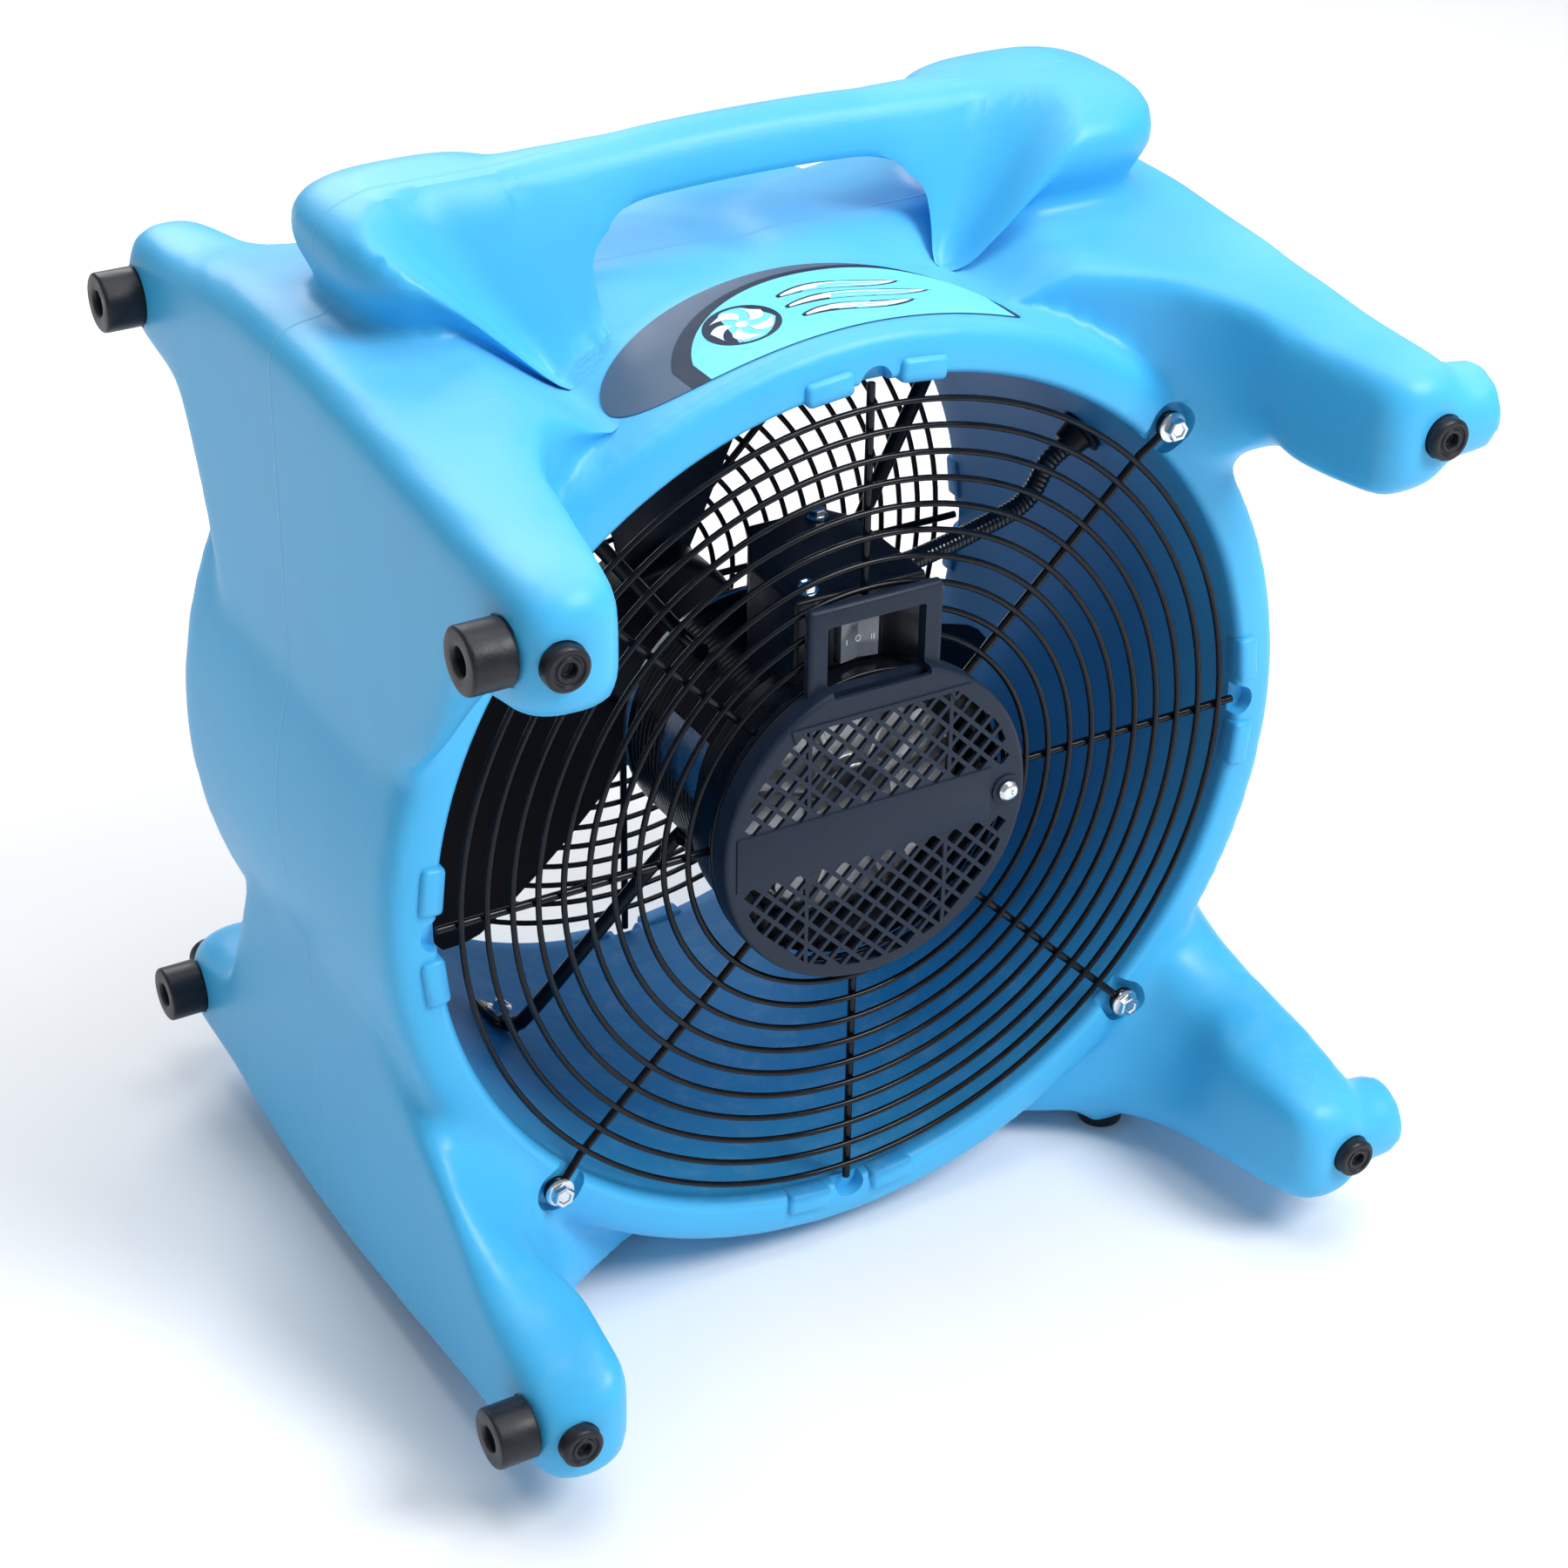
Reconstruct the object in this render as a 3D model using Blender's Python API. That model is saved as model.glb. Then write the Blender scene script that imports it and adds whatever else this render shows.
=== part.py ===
"""Axial air mover: a fan and its motor in a rotomoulded duct housing with guards, bumpers and a handle.

Metres, +Z up. The origin is on the floor under the middle of the machine, the air intake guard faces -Y.
"""
import math

import bmesh
import bpy
from mathutils import Matrix, Vector

# ---- driving dimensions -------------------------------------------------------------------------
AXIS_Z = 0.264            # height of the fan's axis above the floor
FRONT_Y = -0.097          # front face of the drum
REAR_Y = 0.160            # rear face of the drum
SEAM_Y = 0.0315           # mould parting plane, half way along the drum
DRUM_R = 0.2525           # outside of the drum
BORE_FRONT_R = 0.2265     # duct bore at the front face
BORE_REAR_R = 0.215       # duct bore at the rear face
TIP_Y = 0.227             # leg tips reach this far forward and back
SIDE_X = 0.241            # outer face of the side panels
HALF_WIDTH = 0.2606       # from the middle to the side bumpers' faces
BUMPER_Y = 0.205          # side bumpers' distance from the middle, along the axis
BUMPER_Z = 0.205          # bumpers' distance above and below the fan's axis
FACE_BUMPER_X = 0.225     # front and rear bumpers' distance to the side
BOSS_R = 0.022            # stacking socket bosses on the right side
GRIP_TOP_Z = 0.3165       # top of the handle above the fan's axis
POD_TOP_Z = 0.3105        # top of the blocks at the handle's ends
POD_X = 0.160             # middle of each of these blocks
BODY_TOP_Z = 0.2547       # top of the torso above the fan's axis
FOOT_X = 0.178            # feet: distance to the side, places along the axis, radius
FOOT_Y = (-0.072, 0.105)
FOOT_R = 0.013
GUARD_R = 0.215           # guard's outer ring
GUARD_WIRE_R = 0.0017
GUARD_RINGS = 5           # rings outside the cover on either guard
GUARD_INNER_R = 0.083
GUARD_CORE_RINGS = 2      # further rings in the middle of the outlet guard
GUARD_CORE_R = 0.023
GUARD_BOLT_R = 0.239      # bolt circle
MOTOR_R = 0.068
MOTOR_REAR_Y = 0.034
SHAFT_R = 0.006
FAN_Y = 0.117             # middle of the fan blades
FAN_R = 0.206
BLADES = 3
BLADE_START = 84          # degrees from +X to the first blade's middle
STRUT_ANGLES = (54, 126, 234, 306)
STRUT_R = 0.004
COVER_R = 0.085
COVER_FRONT_Y = -0.112
GAP = 0.0004              # clearance between separate pieces
VOXEL = 0.009             # grid of the housing's blended surface
SOFTEN_STEPS = 2          # smoothing steps on it
KEEP_SHARE = 0.060         # share of the blended surface's faces that is kept
SIDE_SEAT_X = 0.2395      # flat seats under the bumpers and the feet
FACE_SEAT_Y = 0.2250
FACE_BUMPER_Y = 0.2330
FOOT_SEAT_Z = -0.2545
SIDE_BUMPER_R = 0.0150
FACE_BUMPER_R = 0.0104
DIAGONALS = (45, 135, 225, 315)
CARDINALS = (0, 90, 180, 270)
POCKET_DEPTH = 0.006
GUARD_SET_IN = 0.0020     # guard wires' centres behind the drum's face
GUARD_REAR_R = 0.2035
SPOKE_R = 0.0024
EYELET_R = 0.0056
BOLT_HOLE_R = 0.0034
BEARING_R = 0.0155
ROTOR_R = 0.0355
HUB_R = 0.045
BLADE_THICK = 0.0026
STRUT_BOLT_Y = 0.060
GLAND_ANGLE = 35
GLAND_Y = -0.007
GLAND_R = 0.0115
CONDUIT_R = 0.0055
CONDUIT_MIDDLE = ((0.146, -0.010, 0.096), (0.112, -0.016, 0.090), (0.072, -0.026, 0.089))
CONDUIT_END = (0.040, -0.030, 0.090)
TERMINAL_OUTLINE = ((-0.033, -0.084), (0.040, -0.084), (0.040, -0.018), (0.030, -0.002), (-0.012, -0.002),
                    (-0.033, -0.040))
TERMINAL_FRONT_Y = -0.084
TERMINAL_TOP = 0.117
TERMINAL_SCREWS = ((-0.022, -0.076), (0.022, -0.011))
CAPACITOR_AT = (0.004, -0.056, 0.090)
CAPACITOR_R = 0.0115
CAPACITOR_LENGTH = 0.042
SWITCH_X = 0.0
SWITCH_Z = 0.092
SWITCH_HALF_X = 0.0140
SWITCH_HALF_Z = 0.0120
ROCKER_HALF_X = 0.0105
ROCKER_HALF_Z = 0.0105
ROCKER_PIVOT_Y = -0.0790
ROCKER_FRONT_Y = -0.0895
FRAME_X = 0.037           # the vent cover's window frame round the switch
FRAME_Z = (0.066, 0.122)
FRAME_FRONT_Y = -0.105
FRAME_WINDOW_X = 0.027
FRAME_WINDOW_Z = (0.077, 0.112)
COVER_BACK_Y = -0.0982
COVER_RING_R = 0.0785
COVER_SCREW_X = 0.0735
COVER_BAR_Z = 0.015
LATTICE_HOLE = 0.0140
LATTICE_PITCH = 0.0200
DECAL_R = 0.2512
DECAL_TURN = -3.3
DECAL_HALF_ANGLE = 24.5
DECAL_FRONT_Y = -0.0830
DECAL_BACK_Y = -0.0080


# ---- helpers ------------------------------------------------------------------------------------
def clear_scene():
    for obj in list(bpy.data.objects):
        bpy.data.objects.remove(obj, do_unlink=True)


def material(name, color, roughness, metallic=0.0):
    mat = bpy.data.materials.get(name) or bpy.data.materials.new(name)
    mat.use_nodes = True
    shader = mat.node_tree.nodes["Principled BSDF"]
    shader.inputs["Base Color"].default_value = (*color, 1)
    shader.inputs["Roughness"].default_value = roughness
    shader.inputs["Metallic"].default_value = metallic
    return mat


def blue_plastic():
    return material("housing_blue", (0.075, 0.42, 0.72), 0.45)


def black_plastic():
    return material("black_plastic", (0.025, 0.03, 0.038), 0.45)


def black_paint():
    return material("black_paint", (0.012, 0.012, 0.014), 0.35)


def rubber():
    return material("rubber", (0.018, 0.019, 0.022), 0.6)


def zinc():
    return material("zinc", (0.72, 0.73, 0.75), 0.3, 1.0)


def steel():
    return material("steel", (0.5, 0.5, 0.52), 0.35, 1.0)


def aluminium():
    return material("cast_aluminium", (0.62, 0.63, 0.65), 0.4, 1.0)


def copper():
    return material("winding_copper", (0.6, 0.27, 0.12), 0.4, 1.0)


def rocker_plastic():
    return material("rocker_plastic", (0.3, 0.33, 0.36), 0.3)


def decal_print():
    return material("decal_print", (0.03, 0.06, 0.16), 0.35)


def add_object(name, bm, mat, parent=None, location=(0, 0, 0), rotation=(0, 0, 0)):
    bmesh.ops.recalc_face_normals(bm, faces=bm.faces)
    mesh = bpy.data.meshes.new(name)
    bm.to_mesh(mesh)
    bm.free()
    obj = bpy.data.objects.new(name, mesh)
    bpy.context.collection.objects.link(obj)
    if mat:
        mesh.materials.append(mat)
    mesh.shade_smooth()
    mesh.set_sharp_from_angle(angle=math.radians(35))
    obj.location = location
    obj.rotation_euler = rotation
    obj.parent = parent
    return obj


def add_empty(name, location, parent=None):
    empty = bpy.data.objects.new(name, None)
    bpy.context.collection.objects.link(empty)
    empty.location = location
    empty.parent = parent
    return empty


def turned_mesh(profile, segments, ring=False):
    """Turn (radius, height) points about Z: from axis to axis, or round a closed ring."""
    bm = bmesh.new()
    rows = []
    for radius, height in profile:
        if radius < 1e-9:
            rows.append([bm.verts.new((0, 0, height))])
            continue
        turn = (2 * math.pi * k / segments for k in range(segments))
        rows.append([bm.verts.new((radius * math.cos(a), radius * math.sin(a), height)) for a in turn])
    pairs = list(zip(rows, rows[1:]))
    if ring:
        pairs.append((rows[-1], rows[0]))
    for lower, upper in pairs:
        for k in range(segments):
            n = (k + 1) % segments
            if len(lower) == 1:
                bm.faces.new((lower[0], upper[k], upper[n]))
            elif len(upper) == 1:
                bm.faces.new((lower[k], lower[n], upper[0]))
            else:
                bm.faces.new((lower[k], lower[n], upper[n], upper[k]))
    return bm


def disc_profile(radius, low, high, chamfer=0.0):
    if not chamfer:
        return [(0, low), (radius, low), (radius, high), (0, high)]
    return [(0, low), (radius, low), (radius, high - chamfer), (radius - chamfer, high), (0, high)]


def tube_profile(inner, outer, low, high):
    return [(inner, low), (outer, low), (outer, high), (inner, high)]


def block_mesh(low, high):
    bm = bmesh.new()
    bmesh.ops.create_cube(bm, size=1)
    size = Vector(high) - Vector(low)
    middle = (Vector(high) + Vector(low)) / 2
    bmesh.ops.transform(bm, matrix=Matrix.Translation(middle) @ Matrix.Diagonal((*size, 1)), verts=bm.verts)
    return bm


def bevelled_block_mesh(low, high, radius, segments=2):
    bm = block_mesh(low, high)
    bmesh.ops.bevel(bm, geom=bm.edges, offset=radius, segments=segments, affect="EDGES", profile=0.5)
    return bm


def loft_mesh(rings):
    """Skin closed rings of equal length, with a flat cap on each end."""
    bm = bmesh.new()
    rows = [[bm.verts.new(p) for p in ring] for ring in rings]
    count = len(rings[0])
    for lower, upper in zip(rows, rows[1:]):
        for k in range(count):
            n = (k + 1) % count
            bm.faces.new((lower[k], lower[n], upper[n], upper[k]))
    bm.faces.new(rows[0])
    bm.faces.new(rows[-1])
    return bm


def rod_mesh(points, radius, sides, closed=False):
    """A round rod along a polyline, mitred at its bends."""
    points = [Vector(p) for p in points]
    count = len(points)
    rings = []
    side = None
    for i, point in enumerate(points):
        before = points[i - 1] if (closed or i) else point
        after = points[(i + 1) % count] if (closed or i < count - 1) else point
        ahead = (after - point).normalized() if after != point else (point - before).normalized()
        behind = (point - before).normalized() if before != point else ahead
        tangent = (ahead + behind).normalized()
        stretch = 1 / max(0.5, tangent.dot(ahead))
        if side is None:
            side = tangent.orthogonal().normalized()
        side = (side - tangent * side.dot(tangent)).normalized()
        across = tangent.cross(side)
        bend = (ahead - behind)
        bend = bend.normalized() if bend.length > 1e-6 else side
        ring = []
        for k in range(sides):
            angle = 2 * math.pi * (k + 0.5) / sides
            offset = (side * math.cos(angle) + across * math.sin(angle)) * radius
            ring.append(point + offset + bend * bend.dot(offset) * (stretch - 1))
        rings.append(ring)
    if closed:
        bm = bmesh.new()
        rows = [[bm.verts.new(p) for p in ring] for ring in rings]
        for i, lower in enumerate(rows):
            upper = rows[(i + 1) % count]
            for k in range(sides):
                n = (k + 1) % sides
                bm.faces.new((lower[k], lower[n], upper[n], upper[k]))
        return bm
    return loft_mesh(rings)


def join_meshes(parts):
    """One bmesh that holds several, each still a body of its own."""
    joined = bmesh.new()
    for part in parts:
        bmesh.ops.recalc_face_normals(part, faces=part.faces)
        temp = bpy.data.meshes.new("temp")
        part.to_mesh(temp)
        part.free()
        joined.from_mesh(temp)
        bpy.data.meshes.remove(temp)
    return joined


def guide(name, bm, parent=None, location=(0, 0, 0), rotation=(0, 0, 0)):
    """A cutter or an added volume: it shapes its neighbour and is no piece itself."""
    obj = add_object(name, bm, None, parent, location, rotation)
    obj.hide_render = True
    obj.display_type = "WIRE"
    return obj


def boolean(obj, other, operation="DIFFERENCE"):
    mod = obj.modifiers.new(operation.lower(), "BOOLEAN")
    mod.operation = operation
    mod.solver = "EXACT"
    mod.object = other
    return mod


def moved(bm, matrix):
    bmesh.ops.transform(bm, matrix=matrix, verts=bm.verts)
    return bm


def polar(radius, degrees, y=0.0):
    """A point at a radius and an angle round the fan's axis, measured from +X towards +Z."""
    a = math.radians(degrees)
    return Vector((radius * math.cos(a), y, radius * math.sin(a)))


def bore_radius(y):
    share = (y - FRONT_Y) / (REAR_Y - FRONT_Y)
    return BORE_FRONT_R + (BORE_REAR_R - BORE_FRONT_R) * share


TO_FRONT = (math.pi / 2, 0, 0)         # turns a shape's own +Z towards -Y
TO_REAR = (-math.pi / 2, 0, 0)
TO_LEFT = (0, -math.pi / 2, 0)


# ---- housing ------------------------------------------------------------------------------------
# Where each corner column's side face ends, as (y, height from the fan's axis): the left side panel is an
# hourglass that narrows evenly, the right one is cut away round the drum between its arms.
LEFT_UPPER_EDGE = ((-0.227, 0.185), (-0.210, 0.172), (-0.162, 0.160), (-0.128, 0.106), (-0.070, 0.056),
                   (-0.030, 0.020), (0.010, 0.0), (0.053, 0.0), (0.093, 0.020), (0.120, 0.070),
                   (0.142, 0.130), (0.162, 0.166), (0.210, 0.178), (0.227, 0.190))
LEFT_LOWER_EDGE = ((-0.227, 0.198), (-0.210, 0.186), (-0.162, 0.160), (-0.128, 0.127), (-0.058, 0.079),
                   (-0.030, 0.040), (0.010, 0.0), (0.053, 0.0), (0.093, 0.035), (0.120, 0.085),
                   (0.142, 0.130), (0.162, 0.166), (0.210, 0.178), (0.227, 0.190))
RIGHT_EDGE = ((-0.227, 0.185), (-0.210, 0.172), (-0.162, 0.158), (-0.115, 0.152), (-0.070, 0.146),
              (-0.045, 0.110), (-0.010, 0.030), (0.010, 0.0), (0.053, 0.0), (0.090, 0.060), (0.110, 0.120),
              (0.142, 0.150), (0.162, 0.166), (0.210, 0.178), (0.227, 0.190))
# The column's sections across the fan's axis: y, its inner corner x and z, and the x and z where its top ends.
CORNER_SECTIONS = (
    (-0.2270, 0.205, 0.185, 0.205, 0.226),
    (-0.2230, 0.197, 0.177, 0.197, 0.233),
    (-0.2100, 0.193, 0.172, 0.193, 0.2375),
    (-0.1620, 0.190, 0.170, 0.183, 0.240),
    (-0.1280, 0.200, 0.165, 0.176, 0.243),
    (-0.0970, 0.190, 0.140, 0.160, 0.246),
    (-0.0700, 0.170, 0.080, 0.120, 0.249),
    (-0.0300, 0.150, 0.020, 0.040, 0.252),
    (0.0100, 0.150, 0.000, 0.000, BODY_TOP_Z),
    (0.0530, 0.150, 0.000, 0.000, BODY_TOP_Z),
    (0.0930, 0.150, 0.020, 0.040, 0.252),
    (0.1200, 0.170, 0.080, 0.120, 0.249),
    (0.1420, 0.195, 0.150, 0.165, 0.245),
    (0.1620, 0.195, 0.170, 0.183, 0.241),
    (0.2100, 0.195, 0.176, 0.195, 0.2375),
    (0.2230, 0.199, 0.180, 0.199, 0.233),
    (0.2270, 0.207, 0.188, 0.207, 0.226),
)


def along(outline, y):
    """The height of an outline at a depth, straight between its points."""
    for (y0, z0), (y1, z1) in zip(outline, outline[1:]):
        if y <= y1:
            return z0 + (z1 - z0) * (y - y0) / (y1 - y0)
    return outline[-1][1]


def corner_column(side, level):
    edge = RIGHT_EDGE if side > 0 else (LEFT_UPPER_EDGE if level > 0 else LEFT_LOWER_EDGE)
    rings = []
    for y, inner_x, inner_z, top_x, top_z in CORNER_SECTIONS:
        shrink = max(0.0, (abs(y) - 0.21) / (TIP_Y - 0.21)) ** 2 * 0.010
        outer = SIDE_X - shrink
        corners = [(outer, top_z), (outer, along(edge, y)), (inner_x, inner_z), (top_x, top_z)]
        ring = []
        for k, corner in enumerate(corners):
            corner = Vector(corner)
            before = Vector(corners[k - 1])
            after = Vector(corners[(k + 1) % 4])
            reach = 0.020 if k != 2 else 0.016
            start = corner + (before - corner).normalized() * min(reach, (before - corner).length * 0.45)
            end = corner + (after - corner).normalized() * min(reach, (after - corner).length * 0.45)
            for t in (0.0, 0.33, 0.67, 1.0):
                p = start * (1 - t) ** 2 + corner * 2 * t * (1 - t) + end * t ** 2
                ring.append((side * p.x, y, level * p.y))
        rings.append(ring)
    return loft_mesh(rings)


def superellipse(centre, half_x, half_y, z, count=20, power=3.0):
    ring = []
    for k in range(count):
        a = 2 * math.pi * k / count
        c = math.cos(a)
        s = math.sin(a)
        x = math.copysign(abs(c) ** (2 / power), c) * half_x
        y = math.copysign(abs(s) ** (2 / power), s) * half_y
        ring.append((centre + x, SEAM_Y + y, z))
    return ring


def handle_pod(side):
    """The flared block at one end of the grip: height, half width and half depth of its levels."""
    levels = ((0.200, 0.046, 0.046), (0.254, 0.046, 0.046), (0.268, 0.050, 0.053), (0.283, 0.057, 0.060),
              (0.294, 0.057, 0.057), (0.304, 0.049, 0.046), (POD_TOP_Z, 0.030, 0.026))
    return loft_mesh([superellipse(side * POD_X, hx, hy, z) for z, hx, hy in levels])


def grip():
    rings = []
    for x in (-0.130, -0.104, -0.075, -0.04, 0.0, 0.04, 0.075, 0.104, 0.130):
        middle_z = GRIP_TOP_Z - 0.0155 - 0.006 * (abs(x) / 0.13) ** 2
        depth = 0.018 + 0.018 * max(0.0, (abs(x) - 0.06) / 0.07)
        ring = []
        for k in range(12):
            a = 2 * math.pi * k / 12
            ring.append((x, SEAM_Y + depth * math.cos(a), middle_z + 0.0155 * math.sin(a)))
        rings.append(ring)
    return loft_mesh(rings)


def boss(y, z):
    """A round boss that holds the socket for a neighbour's side bumper."""
    profile = disc_profile(BOSS_R, SIDE_X - 0.03, HALF_WIDTH + 0.003, 0.006)
    return moved(turned_mesh(profile, 20), Matrix.Translation((0, y, z)) @ Matrix.Rotation(math.pi / 2, 4, "Y"))


def foot_pad(side, y):
    """A block under the column that a foot is set into."""
    x = side * FOOT_X
    half = FOOT_R + 0.005
    return bevelled_block_mesh((x - half, y - half, FOOT_SEAT_Z - 0.003), (x + half, y + half, -0.17), 0.007)


def housing_volumes():
    drum = [(0, FRONT_Y), (DRUM_R - 0.008, FRONT_Y), (DRUM_R, FRONT_Y + 0.012), (DRUM_R, REAR_Y - 0.012),
            (DRUM_R - 0.008, REAR_Y), (0, REAR_Y)]
    parts = [moved(turned_mesh(drum, 72), Matrix.Rotation(-math.pi / 2, 4, "X"))]
    for side in (-1, 1):
        for level in (-1, 1):
            parts.append(corner_column(side, level))
        parts.append(handle_pod(side))
        for y in FOOT_Y:
            parts.append(foot_pad(side, y))
    parts.append(grip())
    for y in (-BUMPER_Y, BUMPER_Y):
        for z in (-BUMPER_Z, BUMPER_Z):
            parts.append(boss(y, z))
    return join_meshes(parts)


def duct_cutter():
    lip = 0.004
    profile = [(0, FRONT_Y - 0.08), (BORE_FRONT_R + 0.010, FRONT_Y - 0.08), (BORE_FRONT_R + lip, FRONT_Y),
               (BORE_FRONT_R, FRONT_Y + lip), (BORE_REAR_R, REAR_Y - lip), (BORE_REAR_R + lip, REAR_Y),
               (BORE_REAR_R + 0.010, REAR_Y + 0.08), (0, REAR_Y + 0.08)]
    return moved(turned_mesh(profile, 64), Matrix.Rotation(-math.pi / 2, 4, "X"))


def toward_matrix(direction):
    """Turn a shape's own +Z to point along a direction."""
    return Vector((0, 0, 1)).rotation_difference(Vector(direction)).to_matrix().to_4x4()


def round_cut(point, direction, radius, below, above, sides=12):
    """A round cutter along a direction, from a depth below a point to a height above it."""
    profile = disc_profile(radius, -below, above)
    return moved(turned_mesh(profile, sides), Matrix.Translation(point) @ toward_matrix(direction))


def radial_block(angle, near, far, half_width, y_low, y_high):
    """A block that runs outward from the fan's axis at an angle."""
    turn = Matrix.Rotation(-math.radians(angle), 4, "Y")
    return moved(block_mesh((near, y_low, -half_width), (far, y_high, half_width)), turn)


def decal_shape(inner, outer, grow=0.0):
    """A curved label on the top of the drum, between two radii: an arch in angle and depth."""
    rings = []
    count = 12
    for k in range(count + 1):
        share = 2 * k / count - 1
        angle = 90 - DECAL_TURN + share * (DECAL_HALF_ANGLE + math.degrees(grow / outer))
        rise = math.sqrt(max(0.0, 1 - abs(share) ** 2.2))
        low_y = DECAL_FRONT_Y + (1 - rise) * 0.012 - grow
        high_y = DECAL_FRONT_Y + 0.014 + (DECAL_BACK_Y - DECAL_FRONT_Y - 0.014) * rise + grow
        rings.append([polar(inner, angle, low_y), polar(outer, angle, low_y),
                      polar(outer, angle, high_y), polar(inner, angle, high_y)])
    return loft_mesh(rings)


def face_ends():
    """The drum's two faces, each with the direction that points out of it."""
    return ((FRONT_Y, -1), (REAR_Y, 1))


def guard_recesses():
    """Pockets and slots for the guards' diagonal spokes, and notches for their straight ones."""
    first = []
    second = []
    for face, out in face_ends():
        floor = face - out * POCKET_DEPTH
        for angle in DIAGONALS:
            centre = polar(GUARD_BOLT_R, angle, floor)
            first.append(round_cut(centre, (0, out, 0), 0.011, 0, 0.03, 16))
            second.append(radial_block(angle, BORE_REAR_R - 0.01, GUARD_BOLT_R, 0.0042,
                                       min(floor, floor + out * 0.03), max(floor, floor + out * 0.03)))
            second.append(round_cut(centre, (0, out, 0), BOLT_HOLE_R, 0.014, 0.004, 10))
        for angle in CARDINALS:
            centre = polar(bore_radius(face) + 0.001, angle, face)
            first.append(round_cut(centre, (0, out, 0), 0.0085, 0.008, 0.02))
    return first, second


def seats():
    """Flat seats for the bumpers and the feet, and the cut that ends the bosses."""
    cuts = [block_mesh((HALF_WIDTH, -0.4, -0.4), (0.4, 0.4, 0.4))]
    for y in (-BUMPER_Y, BUMPER_Y):
        for z in (-BUMPER_Z, BUMPER_Z):
            cuts.append(round_cut((-SIDE_SEAT_X, y, z), (-1, 0, 0), SIDE_BUMPER_R + GAP, 0, 0.03, 20))
    for out in (-1, 1):
        for x in (-FACE_BUMPER_X, FACE_BUMPER_X):
            for z in (-BUMPER_Z, BUMPER_Z):
                cuts.append(round_cut((x, out * FACE_SEAT_Y, z), (0, out, 0), FACE_BUMPER_R + GAP, 0, 0.03, 16))
    for x in (-FOOT_X, FOOT_X):
        for y in FOOT_Y:
            cuts.append(round_cut((x, y, FOOT_SEAT_Z), (0, 0, -1), FOOT_R + GAP, 0, 0.03, 16))
    return cuts


def wall_holes():
    """Holes in the duct wall for the strut bolts and the cable gland, and the decal's shallow bed."""
    cuts = [decal_shape(DECAL_R - 0.0004, DRUM_R + 0.02, 0.001)]
    for angle in STRUT_ANGLES:
        wall = polar(bore_radius(STRUT_BOLT_Y), angle, STRUT_BOLT_Y)
        cuts.append(round_cut(wall, polar(1, angle), BOLT_HOLE_R, 0.005, 0.012, 10))
    wall = polar(bore_radius(GLAND_Y), GLAND_ANGLE, GLAND_Y)
    cuts.append(round_cut(wall, polar(1, GLAND_ANGLE), GLAND_R + GAP, 0.006, 0.010, 14))
    return cuts


def housing(axis):
    body = add_object("housing", housing_volumes(), blue_plastic(), axis)
    remesh = body.modifiers.new("blend", "REMESH")
    remesh.mode = "VOXEL"
    remesh.voxel_size = VOXEL
    smooth = body.modifiers.new("soften", "SMOOTH")
    smooth.factor = 0.5
    smooth.iterations = SOFTEN_STEPS
    thin = body.modifiers.new("thin", "DECIMATE")
    thin.ratio = KEEP_SHARE
    boolean(body, guide("duct_cutter", duct_cutter(), axis))
    first, second = guard_recesses()
    boolean(body, guide("housing_pockets", join_meshes(first), axis))
    boolean(body, guide("housing_slots", join_meshes(second), axis)).use_self = True
    boolean(body, guide("housing_seats", join_meshes(seats()), axis))
    boolean(body, guide("housing_holes", join_meshes(wall_holes()), axis))
    return body


# ---- bumpers and feet ---------------------------------------------------------------------------
def side_bumpers(axis):
    height = HALF_WIDTH - SIDE_SEAT_X - GAP
    r = SIDE_BUMPER_R
    profile = [(0, 0), (r, 0), (r, height - 0.0015), (r - 0.0015, height), (0.0062, height),
               (0.0062, height - 0.014), (0, height - 0.014)]
    for y, place in ((-BUMPER_Y, "front"), (BUMPER_Y, "rear")):
        for z, level in ((-BUMPER_Z, "lower"), (BUMPER_Z, "upper")):
            add_object(f"side_bumper_{place}_{level}", turned_mesh(profile, 14), rubber(), axis,
                       (-SIDE_SEAT_X - GAP, y, z), TO_LEFT)


def face_bumpers(axis):
    height = FACE_BUMPER_Y - FACE_SEAT_Y - GAP
    r = FACE_BUMPER_R
    profile = [(0, 0), (r, 0), (r, height - 0.001), (r - 0.001, height), (0.0036, height),
               (0.0036, height - 0.004), (0, height - 0.004)]
    for out, place, turn in ((-1, "front", TO_FRONT), (1, "rear", TO_REAR)):
        for x, side in ((-FACE_BUMPER_X, "left"), (FACE_BUMPER_X, "right")):
            for z, level in ((-BUMPER_Z, "lower"), (BUMPER_Z, "upper")):
                add_object(f"{place}_bumper_{side}_{level}", turned_mesh(profile, 12), rubber(), axis,
                           (x, out * (FACE_SEAT_Y + GAP), z), turn)


def feet(axis):
    height = AXIS_Z + FOOT_SEAT_Z - GAP
    profile = [(0, 0), (FOOT_R, 0), (FOOT_R - 0.0015, height), (0, height)]
    for x, side in ((-FOOT_X, "left"), (FOOT_X, "right")):
        for y, place in zip(FOOT_Y, ("front", "rear")):
            add_object(f"foot_{place}_{side}", turned_mesh(profile, 16), rubber(), axis,
                       (x, y, FOOT_SEAT_Z - GAP), (math.pi, 0, 0))


# ---- guards -------------------------------------------------------------------------------------
def circle_points(radius, y, count):
    return [polar(radius, 360 * k / count, y) for k in range(count)]


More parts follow.
